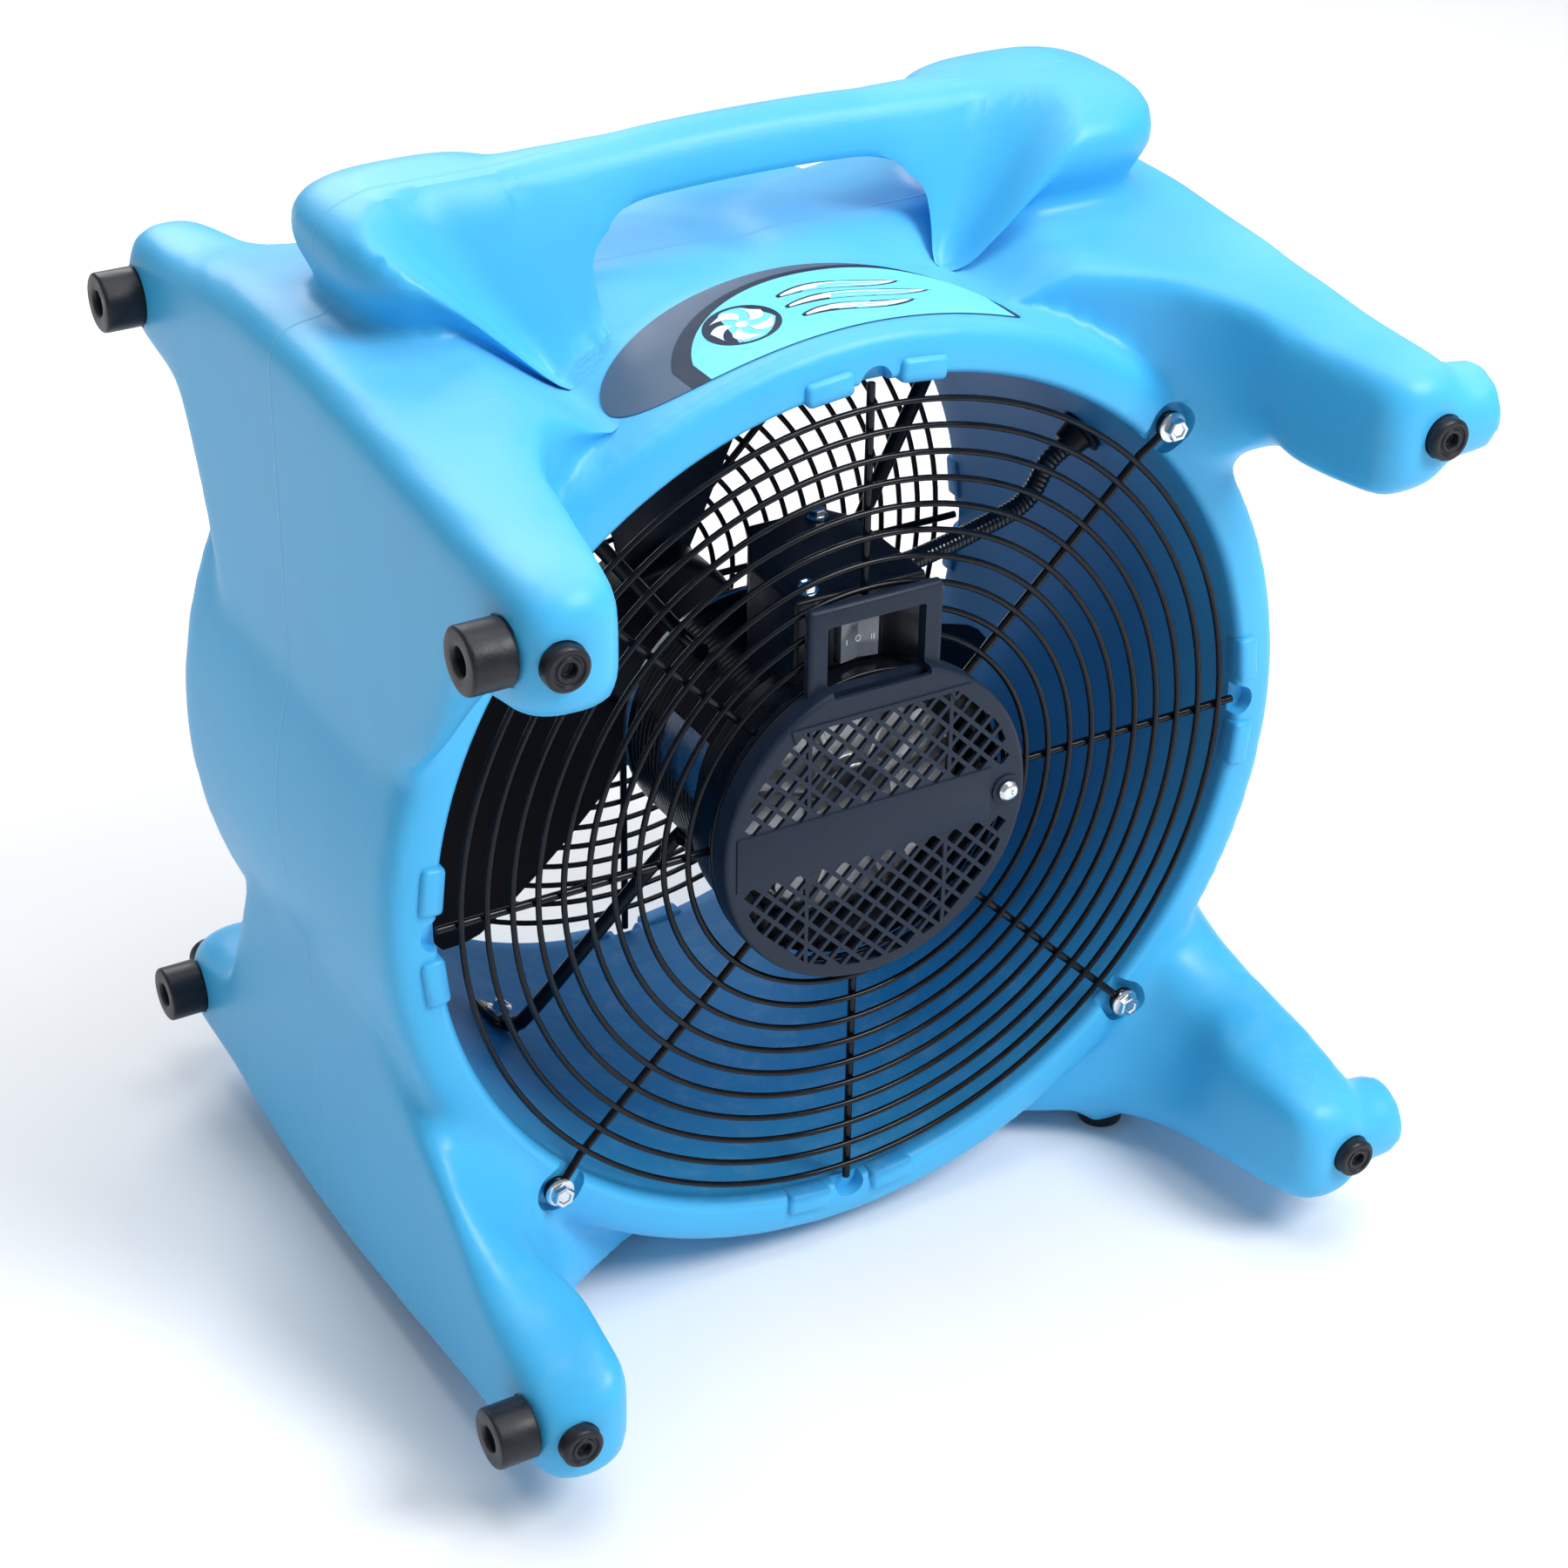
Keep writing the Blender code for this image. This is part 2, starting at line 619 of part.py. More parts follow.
def guard(name, axis, y, outer_r, window):
    """A wire guard; the intake guard ends at the cover and is open at the switch's window."""
    radii = [outer_r + (GUARD_INNER_R - outer_r) * k / (GUARD_RINGS - 1) for k in range(GUARD_RINGS)]
    if not window:
        step = (GUARD_CORE_R - GUARD_INNER_R) / GUARD_CORE_RINGS
        radii += [GUARD_INNER_R + step * (k + 1) for k in range(GUARD_CORE_RINGS)]
    rings = [rod_mesh(circle_points(radius, y, 20), GUARD_WIRE_R, 3, closed=True) for radius in radii]
    start = radii[-1] - 0.001
    spokes = []
    eyelets = []
    for angle in DIAGONALS:
        reach = GUARD_BOLT_R - EYELET_R
        spokes.append(rod_mesh([polar(start, angle, y), polar(reach, angle, y)], SPOKE_R, 3))
        centre = polar(GUARD_BOLT_R, angle, y)
        loop = [centre + polar(EYELET_R, 45 * k + angle) for k in range(8)]
        eyelets.append(rod_mesh(loop, GUARD_WIRE_R, 3, closed=True))
    for angle in CARDINALS:
        spokes.append(rod_mesh([polar(start, angle, y), polar(outer_r + 0.012, angle, y)], SPOKE_R, 3))
    body = add_object(name, join_meshes(rings), black_paint(), axis)
    boolean(body, guide(name + "_spokes", join_meshes(spokes), axis), "UNION")
    boolean(body, guide(name + "_eyelets", join_meshes(eyelets), axis), "UNION")
    if window:
        half = FRAME_WINDOW_X + 0.004
        cut = block_mesh((-half, y - 0.02, FRAME_WINDOW_Z[0] - 0.008), (half, y + 0.02, FRAME_WINDOW_Z[1] + 0.004))
        boolean(body, guide(name + "_window", cut, axis))


def hexagon(radius, height):
    return [(radius * math.cos(math.pi * k / 3), radius * math.sin(math.pi * k / 3), height) for k in range(6)]


def hex_bolt_mesh(shank_r, shank_length, washer_r, washer_h, flats, head_h):
    """A hex bolt with a washer face: its seat at height 0, its shank below."""
    corner = flats / math.sqrt(3)
    top = washer_h + head_h
    levels = ((shank_r, -shank_length), (shank_r, 0), (washer_r, 0), (washer_r, washer_h), (corner, washer_h),
              (corner, top - 0.0006), (corner * 0.88, top))
    return loft_mesh([hexagon(radius, height) for radius, height in levels])


def guard_bolts(axis):
    for (face, out), place, turn in zip(face_ends(), ("front", "rear"), (TO_FRONT, TO_REAR)):
        seat = face + out * (SPOKE_R - GUARD_SET_IN + GAP)
        depth = abs(seat - (face - out * (POCKET_DEPTH + 0.012)))
        for angle, corner in zip(DIAGONALS, ("upper_right", "upper_left", "lower_left", "lower_right")):
            bolt = hex_bolt_mesh(0.003, depth, 0.0078, 0.0014, 0.010, 0.0045)
            add_object(f"{place}_guard_bolt_{corner}", bolt, zinc(), axis,
                       polar(GUARD_BOLT_R, angle, seat), turn)


# ---- motor --------------------------------------------------------------------------------------
def turned_on_axis(name, profile, mat, parent, segments=28, ring=False):
    """A piece turned about the fan's axis; its profile is given as (radius, y)."""
    return add_object(name, turned_mesh(profile, segments, ring), mat, parent, (0, 0, 0), TO_REAR)


def motor(axis):
    inner = MOTOR_R - 0.0048
    turned_on_axis("motor_body", tube_profile(inner, MOTOR_R, -0.070, 0.020), black_paint(), axis, 24, True)
    front = [(0, -0.088), (0.022, -0.088), (0.024, -0.081), (0.060, -0.081), (MOTOR_R, -0.076),
             (MOTOR_R, -0.070 - GAP), (inner, -0.070 - GAP), (inner, -0.0775), (0.0205, -0.0775),
             (0.0205, -0.072), (BEARING_R + GAP, -0.072), (BEARING_R + GAP, -0.0845), (0, -0.0845)]
    turned_on_axis("motor_front_endbell", front, aluminium(), axis, 24)
    rear = [(0.0085, MOTOR_REAR_Y), (0.022, MOTOR_REAR_Y), (0.026, 0.029), (0.060, 0.029), (MOTOR_R, 0.025),
            (MOTOR_R, 0.020 + GAP), (inner, 0.020 + GAP), (inner, 0.0255), (0.0205, 0.0255), (0.0205, 0.0215),
            (BEARING_R + GAP, 0.0215), (BEARING_R + GAP, 0.0305), (0.0085, 0.0305)]
    turned_on_axis("motor_rear_endbell", rear, aluminium(), axis, 24, True)
    turned_on_axis("motor_stator", tube_profile(ROTOR_R + 0.0006, inner - GAP, -0.058, 0.008), copper(), axis,
                   24, True)
    hole = SHAFT_R + GAP
    turned_on_axis("front_bearing", tube_profile(hole, BEARING_R, -0.0835, -0.0735), steel(), axis, 14, True)
    turned_on_axis("rear_bearing", tube_profile(hole, BEARING_R, 0.0220, 0.0300), steel(), axis, 14, True)


def cover_ring(axis):
    """The ring round the front of the motor that the vent cover is screwed to."""
    hole = round_cut((COVER_SCREW_X, COVER_BACK_Y, 0), (0, -1, 0), 0.0021, 0.014, 0.004, 8)
    ring = turned_on_axis("cover_ring", tube_profile(MOTOR_R + GAP, COVER_RING_R, COVER_BACK_Y + GAP, -0.066),
                          black_paint(), axis, 24, True)
    boolean(ring, guide("cover_ring_hole", hole, axis))


def struts(axis):
    """Four bent rods that hold the motor in the duct, each bolted to the wall by its flattened end."""
    wall = bore_radius(STRUT_BOLT_Y)
    for angle, name in zip(STRUT_ANGLES, ("upper_right", "upper_left", "lower_left", "lower_right")):
        at_motor = MOTOR_R + STRUT_R + 0.0012
        path = [polar(at_motor, angle, -0.012), polar(at_motor, angle, 0.010),
                polar(wall - STRUT_R - 0.0035, angle, STRUT_BOLT_Y - 0.0175),
                polar(wall - 0.0042, angle, STRUT_BOLT_Y - 0.0085)]
        rod = add_object(f"strut_{name}", rod_mesh(path, STRUT_R, 8), black_paint(), axis)
        plate = bevelled_block_mesh((wall - 0.0052, STRUT_BOLT_Y - 0.013, -0.009),
                                    (wall - 0.0012, STRUT_BOLT_Y + 0.012, 0.009), 0.001, 1)
        moved(plate, Matrix.Rotation(-math.radians(angle), 4, "Y"))
        boolean(rod, guide(f"strut_{name}_plate", plate, axis), "UNION")
        hole = round_cut(polar(wall - 0.003, angle, STRUT_BOLT_Y), polar(1, angle), BOLT_HOLE_R, 0.012, 0.02, 10)
        boolean(rod, guide(f"strut_{name}_hole", hole, axis))
        inward = -polar(1, angle)
        turn = Vector((0, 0, 1)).rotation_difference(inward).to_euler()
        bolt = hex_bolt_mesh(0.003, 0.013, 0.0075, 0.0014, 0.010, 0.0045)
        add_object(f"strut_bolt_{name}", bolt, zinc(), axis, polar(wall - 0.0052 - GAP, angle, STRUT_BOLT_Y), turn)


def rotor(spin):
    """What turns: the rotor core and the shaft, the fan and the nut that holds it."""
    hole = SHAFT_R + GAP
    turned_on_axis("motor_shaft", disc_profile(SHAFT_R, -0.0838, 0.148, 0.001), steel(), spin, 16)
    turned_on_axis("rotor_core", tube_profile(hole, ROTOR_R, -0.054, 0.004), steel(), spin, 24, True)
    hub = [(hole, 0.097), (0.016, 0.097), (0.042, 0.101), (HUB_R, 0.105), (HUB_R, 0.134), (HUB_R - 0.003, 0.134),
           (HUB_R - 0.003, 0.112), (0.016, 0.112), (0.016, 0.136), (hole, 0.136)]
    fan = turned_on_axis("fan", hub, black_plastic(), spin, 24, True)
    blades = join_meshes([blade(360 * k / BLADES + BLADE_START) for k in range(BLADES)])
    boolean(fan, guide("fan_blades", blades, spin), "UNION")
    add_object("fan_nut", hex_nut_mesh(0.017, 0.009, hole), zinc(), spin, (0, 0.1365, 0), TO_REAR)


def blade(turn_degrees):
    """A wide, twisted blade: sections along its radius, each thin and cambered."""
    rings = []
    for k in range(6):
        share = k / 5
        radius = HUB_R - 0.004 + (FAN_R - HUB_R + 0.004) * share
        chord = 0.080 + 0.106 * share ** 0.8
        pitch = -math.radians(36 - 21 * share)
        half = BLADE_THICK / 2
        outline = []
        steps = (-1, -0.5, 0, 0.5, 1)
        for t in steps:
            outline.append((t * chord / 2, 0.006 * (1 - t * t) + half * (1 - 0.6 * abs(t))))
        for t in reversed(steps):
            outline.append((t * chord / 2, 0.006 * (1 - t * t) - half * (1 - 0.6 * abs(t))))
        ring = []
        for reach, lift in outline:
            tangential = reach * math.cos(pitch) - lift * math.sin(pitch)
            axial = reach * math.sin(pitch) + lift * math.cos(pitch)
            angle = math.radians(turn_degrees) + tangential / radius
            ring.append((radius * math.cos(angle), FAN_Y + axial, radius * math.sin(angle)))
        rings.append(ring)
    return loft_mesh(rings)


def hex_nut_mesh(flats, height, hole):
    sides = 12
    outer = []
    inner = []
    for k in range(sides):
        a = 2 * math.pi * k / sides
        radius = flats / 2 if k % 2 else flats / math.sqrt(3)
        outer.append((radius * math.cos(a), radius * math.sin(a)))
        inner.append((hole * math.cos(a), hole * math.sin(a)))
    bm = bmesh.new()
    rows = [[bm.verts.new((x, y, z)) for x, y in ring] for ring, z in
            ((inner, 0), (outer, 0), (outer, height), (inner, height))]
    for i, lower in enumerate(rows):
        upper = rows[(i + 1) % 4]
        for k in range(sides):
            n = (k + 1) % sides
            bm.faces.new((lower[k], lower[n], upper[n], upper[k]))
    return bm


# ---- terminal box, switch, conduit --------------------------------------------------------------
def terminal_prism(inset, low, high):
    """The terminal box's outline, drawn in evenly and raised between two heights."""
    middle = sum((Vector(p) for p in TERMINAL_OUTLINE), Vector((0, 0))) / len(TERMINAL_OUTLINE)
    corners = [Vector(p) for p in TERMINAL_OUTLINE]
    drawn = [p - Vector((math.copysign(inset, (p - middle).x), math.copysign(inset, (p - middle).y)))
             for p in corners]
    return loft_mesh([[(p.x, p.y, z) for p in drawn] for z in (low, high)])


def terminal_box(axis):
    box = add_object("terminal_box", terminal_prism(0.0, 0.030, TERMINAL_TOP), black_plastic(), axis)
    wall = 0.0025
    boolean(box, guide("terminal_box_inside", terminal_prism(wall, 0.010, TERMINAL_TOP - wall), axis))
    seat = moved(turned_mesh(disc_profile(MOTOR_R + 2 * GAP, -0.2, 0.2), 24), Matrix.Rotation(math.pi / 2, 4, "X"))
    ring = moved(turned_mesh(disc_profile(COVER_RING_R + 2 * GAP, -0.12, -0.066 + GAP), 24),
                 Matrix.Rotation(-math.pi / 2, 4, "X"))
    boolean(box, guide("terminal_box_seat", seat, axis))
    boolean(box, guide("terminal_box_relief", ring, axis))
    front = TERMINAL_FRONT_Y
    cuts = [block_mesh((SWITCH_X - SWITCH_HALF_X - GAP, front - 0.01, SWITCH_Z - SWITCH_HALF_Z - GAP),
                       (SWITCH_X + SWITCH_HALF_X + GAP, front + 0.01, SWITCH_Z + SWITCH_HALF_Z + GAP))]
    for x, y in TERMINAL_SCREWS:
        cuts.append(round_cut((x, y, TERMINAL_TOP), (0, 0, 1), 0.0024, 0.008, 0.004, 8))
    cuts.append(round_cut(CONDUIT_END, (1, 0, 0), 0.0050, 0.006, 0.004, 10))
    boolean(box, guide("terminal_box_holes", join_meshes(cuts), axis))
    for (x, y), place in zip(TERMINAL_SCREWS, ("front", "rear")):
        screw = hex_bolt_mesh(0.002, 0.006, 0.006, 0.0012, 0.008, 0.0035)
        add_object(f"terminal_screw_{place}", screw, zinc(), axis, (x, y, TERMINAL_TOP + GAP))


def switch(axis):
    front = TERMINAL_FRONT_Y
    body = add_object("switch_body", block_mesh(
        (SWITCH_X - SWITCH_HALF_X, front - 0.002, SWITCH_Z - SWITCH_HALF_Z),
        (SWITCH_X + SWITCH_HALF_X, front + 0.024, SWITCH_Z + SWITCH_HALF_Z)), black_plastic(), axis)
    bezel = block_mesh((SWITCH_X - SWITCH_HALF_X - 0.001, front - 0.0022, SWITCH_Z - SWITCH_HALF_Z - 0.001),
                       (SWITCH_X + SWITCH_HALF_X + 0.001, front - GAP, SWITCH_Z + SWITCH_HALF_Z + 0.001))
    boolean(body, guide("switch_bezel", bezel, axis), "UNION")
    well = block_mesh((SWITCH_X - ROCKER_HALF_X - 0.0018, front - 0.02, SWITCH_Z - ROCKER_HALF_Z - 0.0004),
                      (SWITCH_X + ROCKER_HALF_X + 0.0018, front + 0.018, SWITCH_Z + ROCKER_HALF_Z + 0.0004))
    boolean(body, guide("switch_well", well, axis))
    pivot = add_empty("rocker_pivot", (SWITCH_X, ROCKER_PIVOT_Y, SWITCH_Z), axis)
    tip = ROCKER_FRONT_Y - ROCKER_PIVOT_Y
    outline = ((-ROCKER_HALF_X, tip), (0, tip + 0.002), (ROCKER_HALF_X, tip), (ROCKER_HALF_X, 0.004),
               (0, 0.008), (-ROCKER_HALF_X, 0.004))
    rings = [[(x, y, z) for x, y in outline] for z in (-ROCKER_HALF_Z, ROCKER_HALF_Z)]
    add_object("switch_rocker", loft_mesh(rings), rocker_plastic(), pivot)


def capacitor(axis):
    profile = disc_profile(CAPACITOR_R, 0, CAPACITOR_LENGTH, 0.001)
    add_object("motor_capacitor", turned_mesh(profile, 16), aluminium(), axis, CAPACITOR_AT, TO_REAR)


def conduit(axis):
    wall = bore_radius(GLAND_Y)
    inward = -polar(1, GLAND_ANGLE)
    turn = Vector((0, 0, 1)).rotation_difference(inward).to_euler()
    profile = [(0, -0.0085), (GLAND_R, -0.0085), (GLAND_R, 0.0014), (0.016, 0.0014), (0.016, 0.0045),
               (0.0105, 0.0055), (0.0095, 0.013), (0, 0.013)]
    add_object("conduit_gland", turned_mesh(profile, 14), black_plastic(), axis, polar(wall, GLAND_ANGLE, GLAND_Y),
               turn)
    start = polar(wall - 0.013 - GAP, GLAND_ANGLE, GLAND_Y)
    end = Vector(CONDUIT_END)
    route = [start, start - polar(0.012, GLAND_ANGLE), *(Vector(point) for point in CONDUIT_MIDDLE),
             end + Vector((0.012, 0, 0)), end + Vector((3 * GAP, 0, 0))]
    curve = bpy.data.curves.new("conduit", "CURVE")
    curve.dimensions = "3D"
    spline = curve.splines.new("POLY")
    points = smooth_route(route, 4)
    spline.points.add(len(points) - 1)
    for target, point in zip(spline.points, points):
        target.co = (*point, 1)
    curve.bevel_depth = CONDUIT_R
    curve.bevel_resolution = 2
    curve.render_resolution_u = 0
    curve.use_fill_caps = True
    obj = bpy.data.objects.new("conduit", curve)
    bpy.context.collection.objects.link(obj)
    curve.materials.append(black_plastic())
    obj.parent = axis


def smooth_route(points, steps):
    """Catmull-Rom points through a route."""
    padded = [points[0] * 2 - points[1], *points, points[-1] * 2 - points[-2]]
    route = []
    for a, b, c, d in zip(padded, padded[1:], padded[2:], padded[3:]):
        for k in range(steps):
            t = k / steps
            route.append(0.5 * (2 * b + (c - a) * t + (2 * a - 5 * b + 4 * c - d) * t ** 2
                                + (3 * b - a - 3 * c + d) * t ** 3))
    route.append(points[-1])
    return route


# ---- vent cover ---------------------------------------------------------------------------------
def vent_cover(axis):
    plate = 0.003
    profile = [(0, COVER_FRONT_Y), (COVER_R - 0.004, COVER_FRONT_Y), (COVER_R, COVER_FRONT_Y + 0.004),
               (COVER_R, COVER_BACK_Y - GAP), (COVER_R - 0.0025, COVER_BACK_Y - GAP),
               (COVER_R - 0.0025, COVER_FRONT_Y + plate), (0, COVER_FRONT_Y + plate)]
    cover = turned_on_axis("vent_cover", profile, black_plastic(), axis, 28)
    low_z, high_z = FRAME_Z
    rim = block_mesh((-FRAME_X, FRAME_FRONT_Y, low_z), (FRAME_X, COVER_BACK_Y - GAP, high_z))
    boolean(cover, guide("switch_frame", rim, axis), "UNION")
    lug = round_cut((COVER_SCREW_X, COVER_BACK_Y - GAP, 0), (0, -1, 0), 0.008, 0, 0.0145, 14)
    boolean(cover, guide("cover_lug", lug, axis), "UNION")
    cuts = [block_mesh((-FRAME_WINDOW_X, -0.2, FRAME_WINDOW_Z[0]), (FRAME_WINDOW_X, 0, FRAME_WINDOW_Z[1])),
            round_cut((COVER_SCREW_X, COVER_BACK_Y, 0), (0, -1, 0), 0.0024, 0.004, 0.03, 8)]
    quarter = Matrix.Rotation(math.pi / 4, 4, "Y")
    half = LATTICE_HOLE / 2
    steps = range(-4, 5)
    for i in steps:
        for j in steps:
            centre = quarter @ Vector((i * LATTICE_PITCH, 0, j * LATTICE_PITCH))
            reach = centre.length + half * math.sqrt(2)
            near_lug = (centre - Vector((COVER_SCREW_X, 0, 0))).length < 0.017
            near_window = centre.z + half * math.sqrt(2) > FRAME_Z[0] - 0.002 and abs(centre.x) < FRAME_X + 0.009
            if reach > COVER_R - 0.006 or abs(centre.z) < COVER_BAR_Z + half * 1.42 or near_lug or near_window:
                continue
            hole = block_mesh((-half, -0.2, -half), (half, COVER_FRONT_Y + 0.006, half))
            cuts.append(moved(hole, Matrix.Translation(centre) @ quarter))
    boolean(cover, guide("cover_holes", join_meshes(cuts), axis))
    screw = [(0, -0.010), (0.002, -0.010), (0.002, 0), (0.0055, 0), (0.0055, 0.0018), (0.0035, 0.0033), (0, 0.0038)]
    add_object("cover_screw", turned_mesh(screw, 14), zinc(), axis,
               (COVER_SCREW_X, COVER_BACK_Y - 0.0145 - 2 * GAP, 0), TO_FRONT)


def decal(axis):
    add_object("front_decal", decal_shape(DECAL_R, DECAL_R + 0.0005), decal_print(), axis)


def build():
    clear_scene()
    axis = add_empty("duct_axis", (0, 0, AXIS_Z))
    housing(axis)
    side_bumpers(axis)
    face_bumpers(axis)
    feet(axis)
    guard("front_guard", axis, FRONT_Y + GUARD_SET_IN, GUARD_R, True)
    guard("rear_guard", axis, REAR_Y - GUARD_SET_IN, GUARD_REAR_R, False)
    guard_bolts(axis)
    motor(axis)
    cover_ring(axis)
    struts(axis)
    rotor(add_empty("fan_spin_axis", (0, 0, 0), axis))
    terminal_box(axis)
    switch(axis)
    capacitor(axis)
    conduit(axis)
    vent_cover(axis)
    decal(axis)


build()
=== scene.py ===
import math

import bmesh
import bpy
from mathutils import Matrix, Vector


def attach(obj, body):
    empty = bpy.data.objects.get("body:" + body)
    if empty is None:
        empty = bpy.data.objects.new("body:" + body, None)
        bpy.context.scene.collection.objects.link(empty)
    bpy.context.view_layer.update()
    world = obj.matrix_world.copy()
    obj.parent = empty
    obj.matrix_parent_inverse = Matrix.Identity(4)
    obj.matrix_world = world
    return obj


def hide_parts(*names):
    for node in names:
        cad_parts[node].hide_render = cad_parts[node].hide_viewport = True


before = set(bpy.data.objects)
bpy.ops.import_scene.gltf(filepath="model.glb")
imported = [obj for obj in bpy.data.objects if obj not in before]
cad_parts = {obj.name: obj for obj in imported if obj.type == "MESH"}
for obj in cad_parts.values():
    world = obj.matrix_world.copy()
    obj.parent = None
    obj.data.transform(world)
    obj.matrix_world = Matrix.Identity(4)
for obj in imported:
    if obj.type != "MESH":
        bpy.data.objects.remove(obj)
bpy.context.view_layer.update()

# ---- dimensions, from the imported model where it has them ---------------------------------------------
AXIS_Z = 0.264
FRONT_Y = -0.097
REAR_Y = 0.160
SEAM_Y = 0.0315
DRUM_R = 0.2525
BORE_FRONT_R = 0.2265
BORE_REAR_R = 0.215
TIP_Y = 0.227
SIDE_X = 0.241
HALF_WIDTH = 0.2606
BUMPER_Y = 0.205
BUMPER_Z = 0.205
FACE_BUMPER_X = 0.225
SIDE_SEAT_X = 0.2395
FACE_SEAT_Y = 0.2250
FACE_BUMPER_Y = 0.2330
FOOT_SEAT_Z = -0.2545
SIDE_BUMPER_R = 0.0150
FACE_BUMPER_R = 0.0104
FOOT_X = 0.178
FOOT_Y = (-0.072, 0.105)
FOOT_R = 0.013
BOSS_R = 0.022
GRIP_TOP_Z = 0.3165
POD_TOP_Z = 0.3105
POD_X = 0.160
BODY_TOP_Z = 0.2547
GUARD_R = 0.215
GUARD_REAR_R = 0.2035
GUARD_INNER_R = 0.083
GUARD_RINGS = 11
GUARD_CORE_R = 0.023
GUARD_CORE_RINGS = 5
GUARD_BOLT_R = 0.239
GUARD_WIRE_R = 0.0016
SPOKE_R = 0.0021
MOTOR_R = 0.068
FAN_Y = 0.117
FAN_R = 0.206
HUB_R = 0.045
BLADES = 3
BLADE_START = 84
STRUT_ANGLES = (54, 126, 234, 306)
STRUT_R = 0.004
STRUT_BOLT_Y = 0.060
GLAND_ANGLE = 35
GLAND_Y = -0.007
COVER_R = 0.085
COVER_FRONT_Y = -0.112
COVER_BACK_Y = -0.0982
COVER_SCREW_X = 0.0735
COVER_BAR_Z = 0.015
FRAME_X = 0.037
FRAME_Z = (0.066, 0.122)
FRAME_FRONT_Y = -0.105
WINDOW_X = 0.027
WINDOW_Z = (0.077, 0.112)
DECAL_R = 0.2512
DECAL_TURN = -3.3
DECAL_HALF_ANGLE = 24.5
DECAL_FRONT_Y = -0.0830
DECAL_BACK_Y = -0.0080
DIAGONALS = (45, 135, 225, 315)
CARDINALS = (0, 90, 180, 270)
POCKET_DEPTH = 0.006
VOXEL = 0.0050          # the shell's blending grid; the rim's cuts come out broken on a finer one
SOFTEN_STEPS = 7

ON_AXIS = Vector((0, 0, AXIS_Z))
TO_REAR = Matrix.Rotation(-math.pi / 2, 4, "X")
TO_FRONT = Matrix.Rotation(math.pi / 2, 4, "X")
TO_LEFT = Matrix.Rotation(-math.pi / 2, 4, "Y")


# ---- materials ---------------------------------------------------------------------------------------
def new_material(name):
    mat = bpy.data.materials.new(name)
    mat.use_nodes = True
    return mat, mat.node_tree, mat.node_tree.nodes["Principled BSDF"]


def node(tree, kind, **values):
    made = tree.nodes.new(kind)
    for key, value in values.items():
        setattr(made, key, value)
    return made


def noise(tree, scale, detail=3.0, roughness=0.5):
    coords = node(tree, "ShaderNodeTexCoord")
    made = node(tree, "ShaderNodeTexNoise")
    made.inputs["Scale"].default_value = scale
    made.inputs["Detail"].default_value = detail
    made.inputs["Roughness"].default_value = roughness
    tree.links.new(coords.outputs["Object"], made.inputs["Vector"])
    return made.outputs["Fac"]


def ramp(tree, value, low, high, out_low=0.0, out_high=1.0):
    made = node(tree, "ShaderNodeMapRange")
    made.inputs["From Min"].default_value = low
    made.inputs["From Max"].default_value = high
    made.inputs["To Min"].default_value = out_low
    made.inputs["To Max"].default_value = out_high
    tree.links.new(value, made.inputs["Value"])
    return made.outputs["Result"]


def maths(tree, operation, a, b=None, c=None):
    made = node(tree, "ShaderNodeMath", operation=operation)
    for slot, value in zip(made.inputs, (a, b, c)):
        if value is None:
            continue
        if isinstance(value, (int, float)):
            slot.default_value = value
        else:
            tree.links.new(value, slot)
    return made.outputs["Value"]


def mix_color(tree, factor, a, b):
    made = node(tree, "ShaderNodeMix", data_type="RGBA")
    tree.links.new(factor, made.inputs["Factor"])
    for slot, value in ((made.inputs[6], a), (made.inputs[7], b)):
        if isinstance(value, tuple):
            slot.default_value = (*value, 1)
        else:
            tree.links.new(value, slot)
    return made.outputs[2]


def bump(tree, height, distance, strength=1.0, normal=None):
    made = node(tree, "ShaderNodeBump")
    made.inputs["Strength"].default_value = strength
    made.inputs["Distance"].default_value = distance
    tree.links.new(height, made.inputs["Height"])
    if normal:
        tree.links.new(normal, made.inputs["Normal"])
    return made.outputs["Normal"]


def simple_material(name, color, roughness, metallic=0.0, vary=0.15, scale=60, grain=0.00006, grain_scale=900,
                    rough_vary=0.08, coat=0.0, gloss=0.5):
    """A finish with cloudy colour and gloss changes and a fine grain."""
    mat, tree, shader = new_material(name)
    clouds = noise(tree, scale)
    dark = tuple(c * (1 - vary) for c in color)
    light = tuple(min(1.0, c * (1 + vary)) for c in color)
    tree.links.new(mix_color(tree, ramp(tree, clouds, 0.3, 0.7), dark, light), shader.inputs["Base Color"])
    tree.links.new(ramp(tree, clouds, 0.3, 0.7, roughness - rough_vary, roughness + rough_vary),
                   shader.inputs["Roughness"])
    shader.inputs["Metallic"].default_value = metallic
    shader.inputs["Coat Weight"].default_value = coat
    shader.inputs["Specular IOR Level"].default_value = gloss
    tree.links.new(bump(tree, noise(tree, grain_scale, 2.0), grain), shader.inputs["Normal"])
    return mat


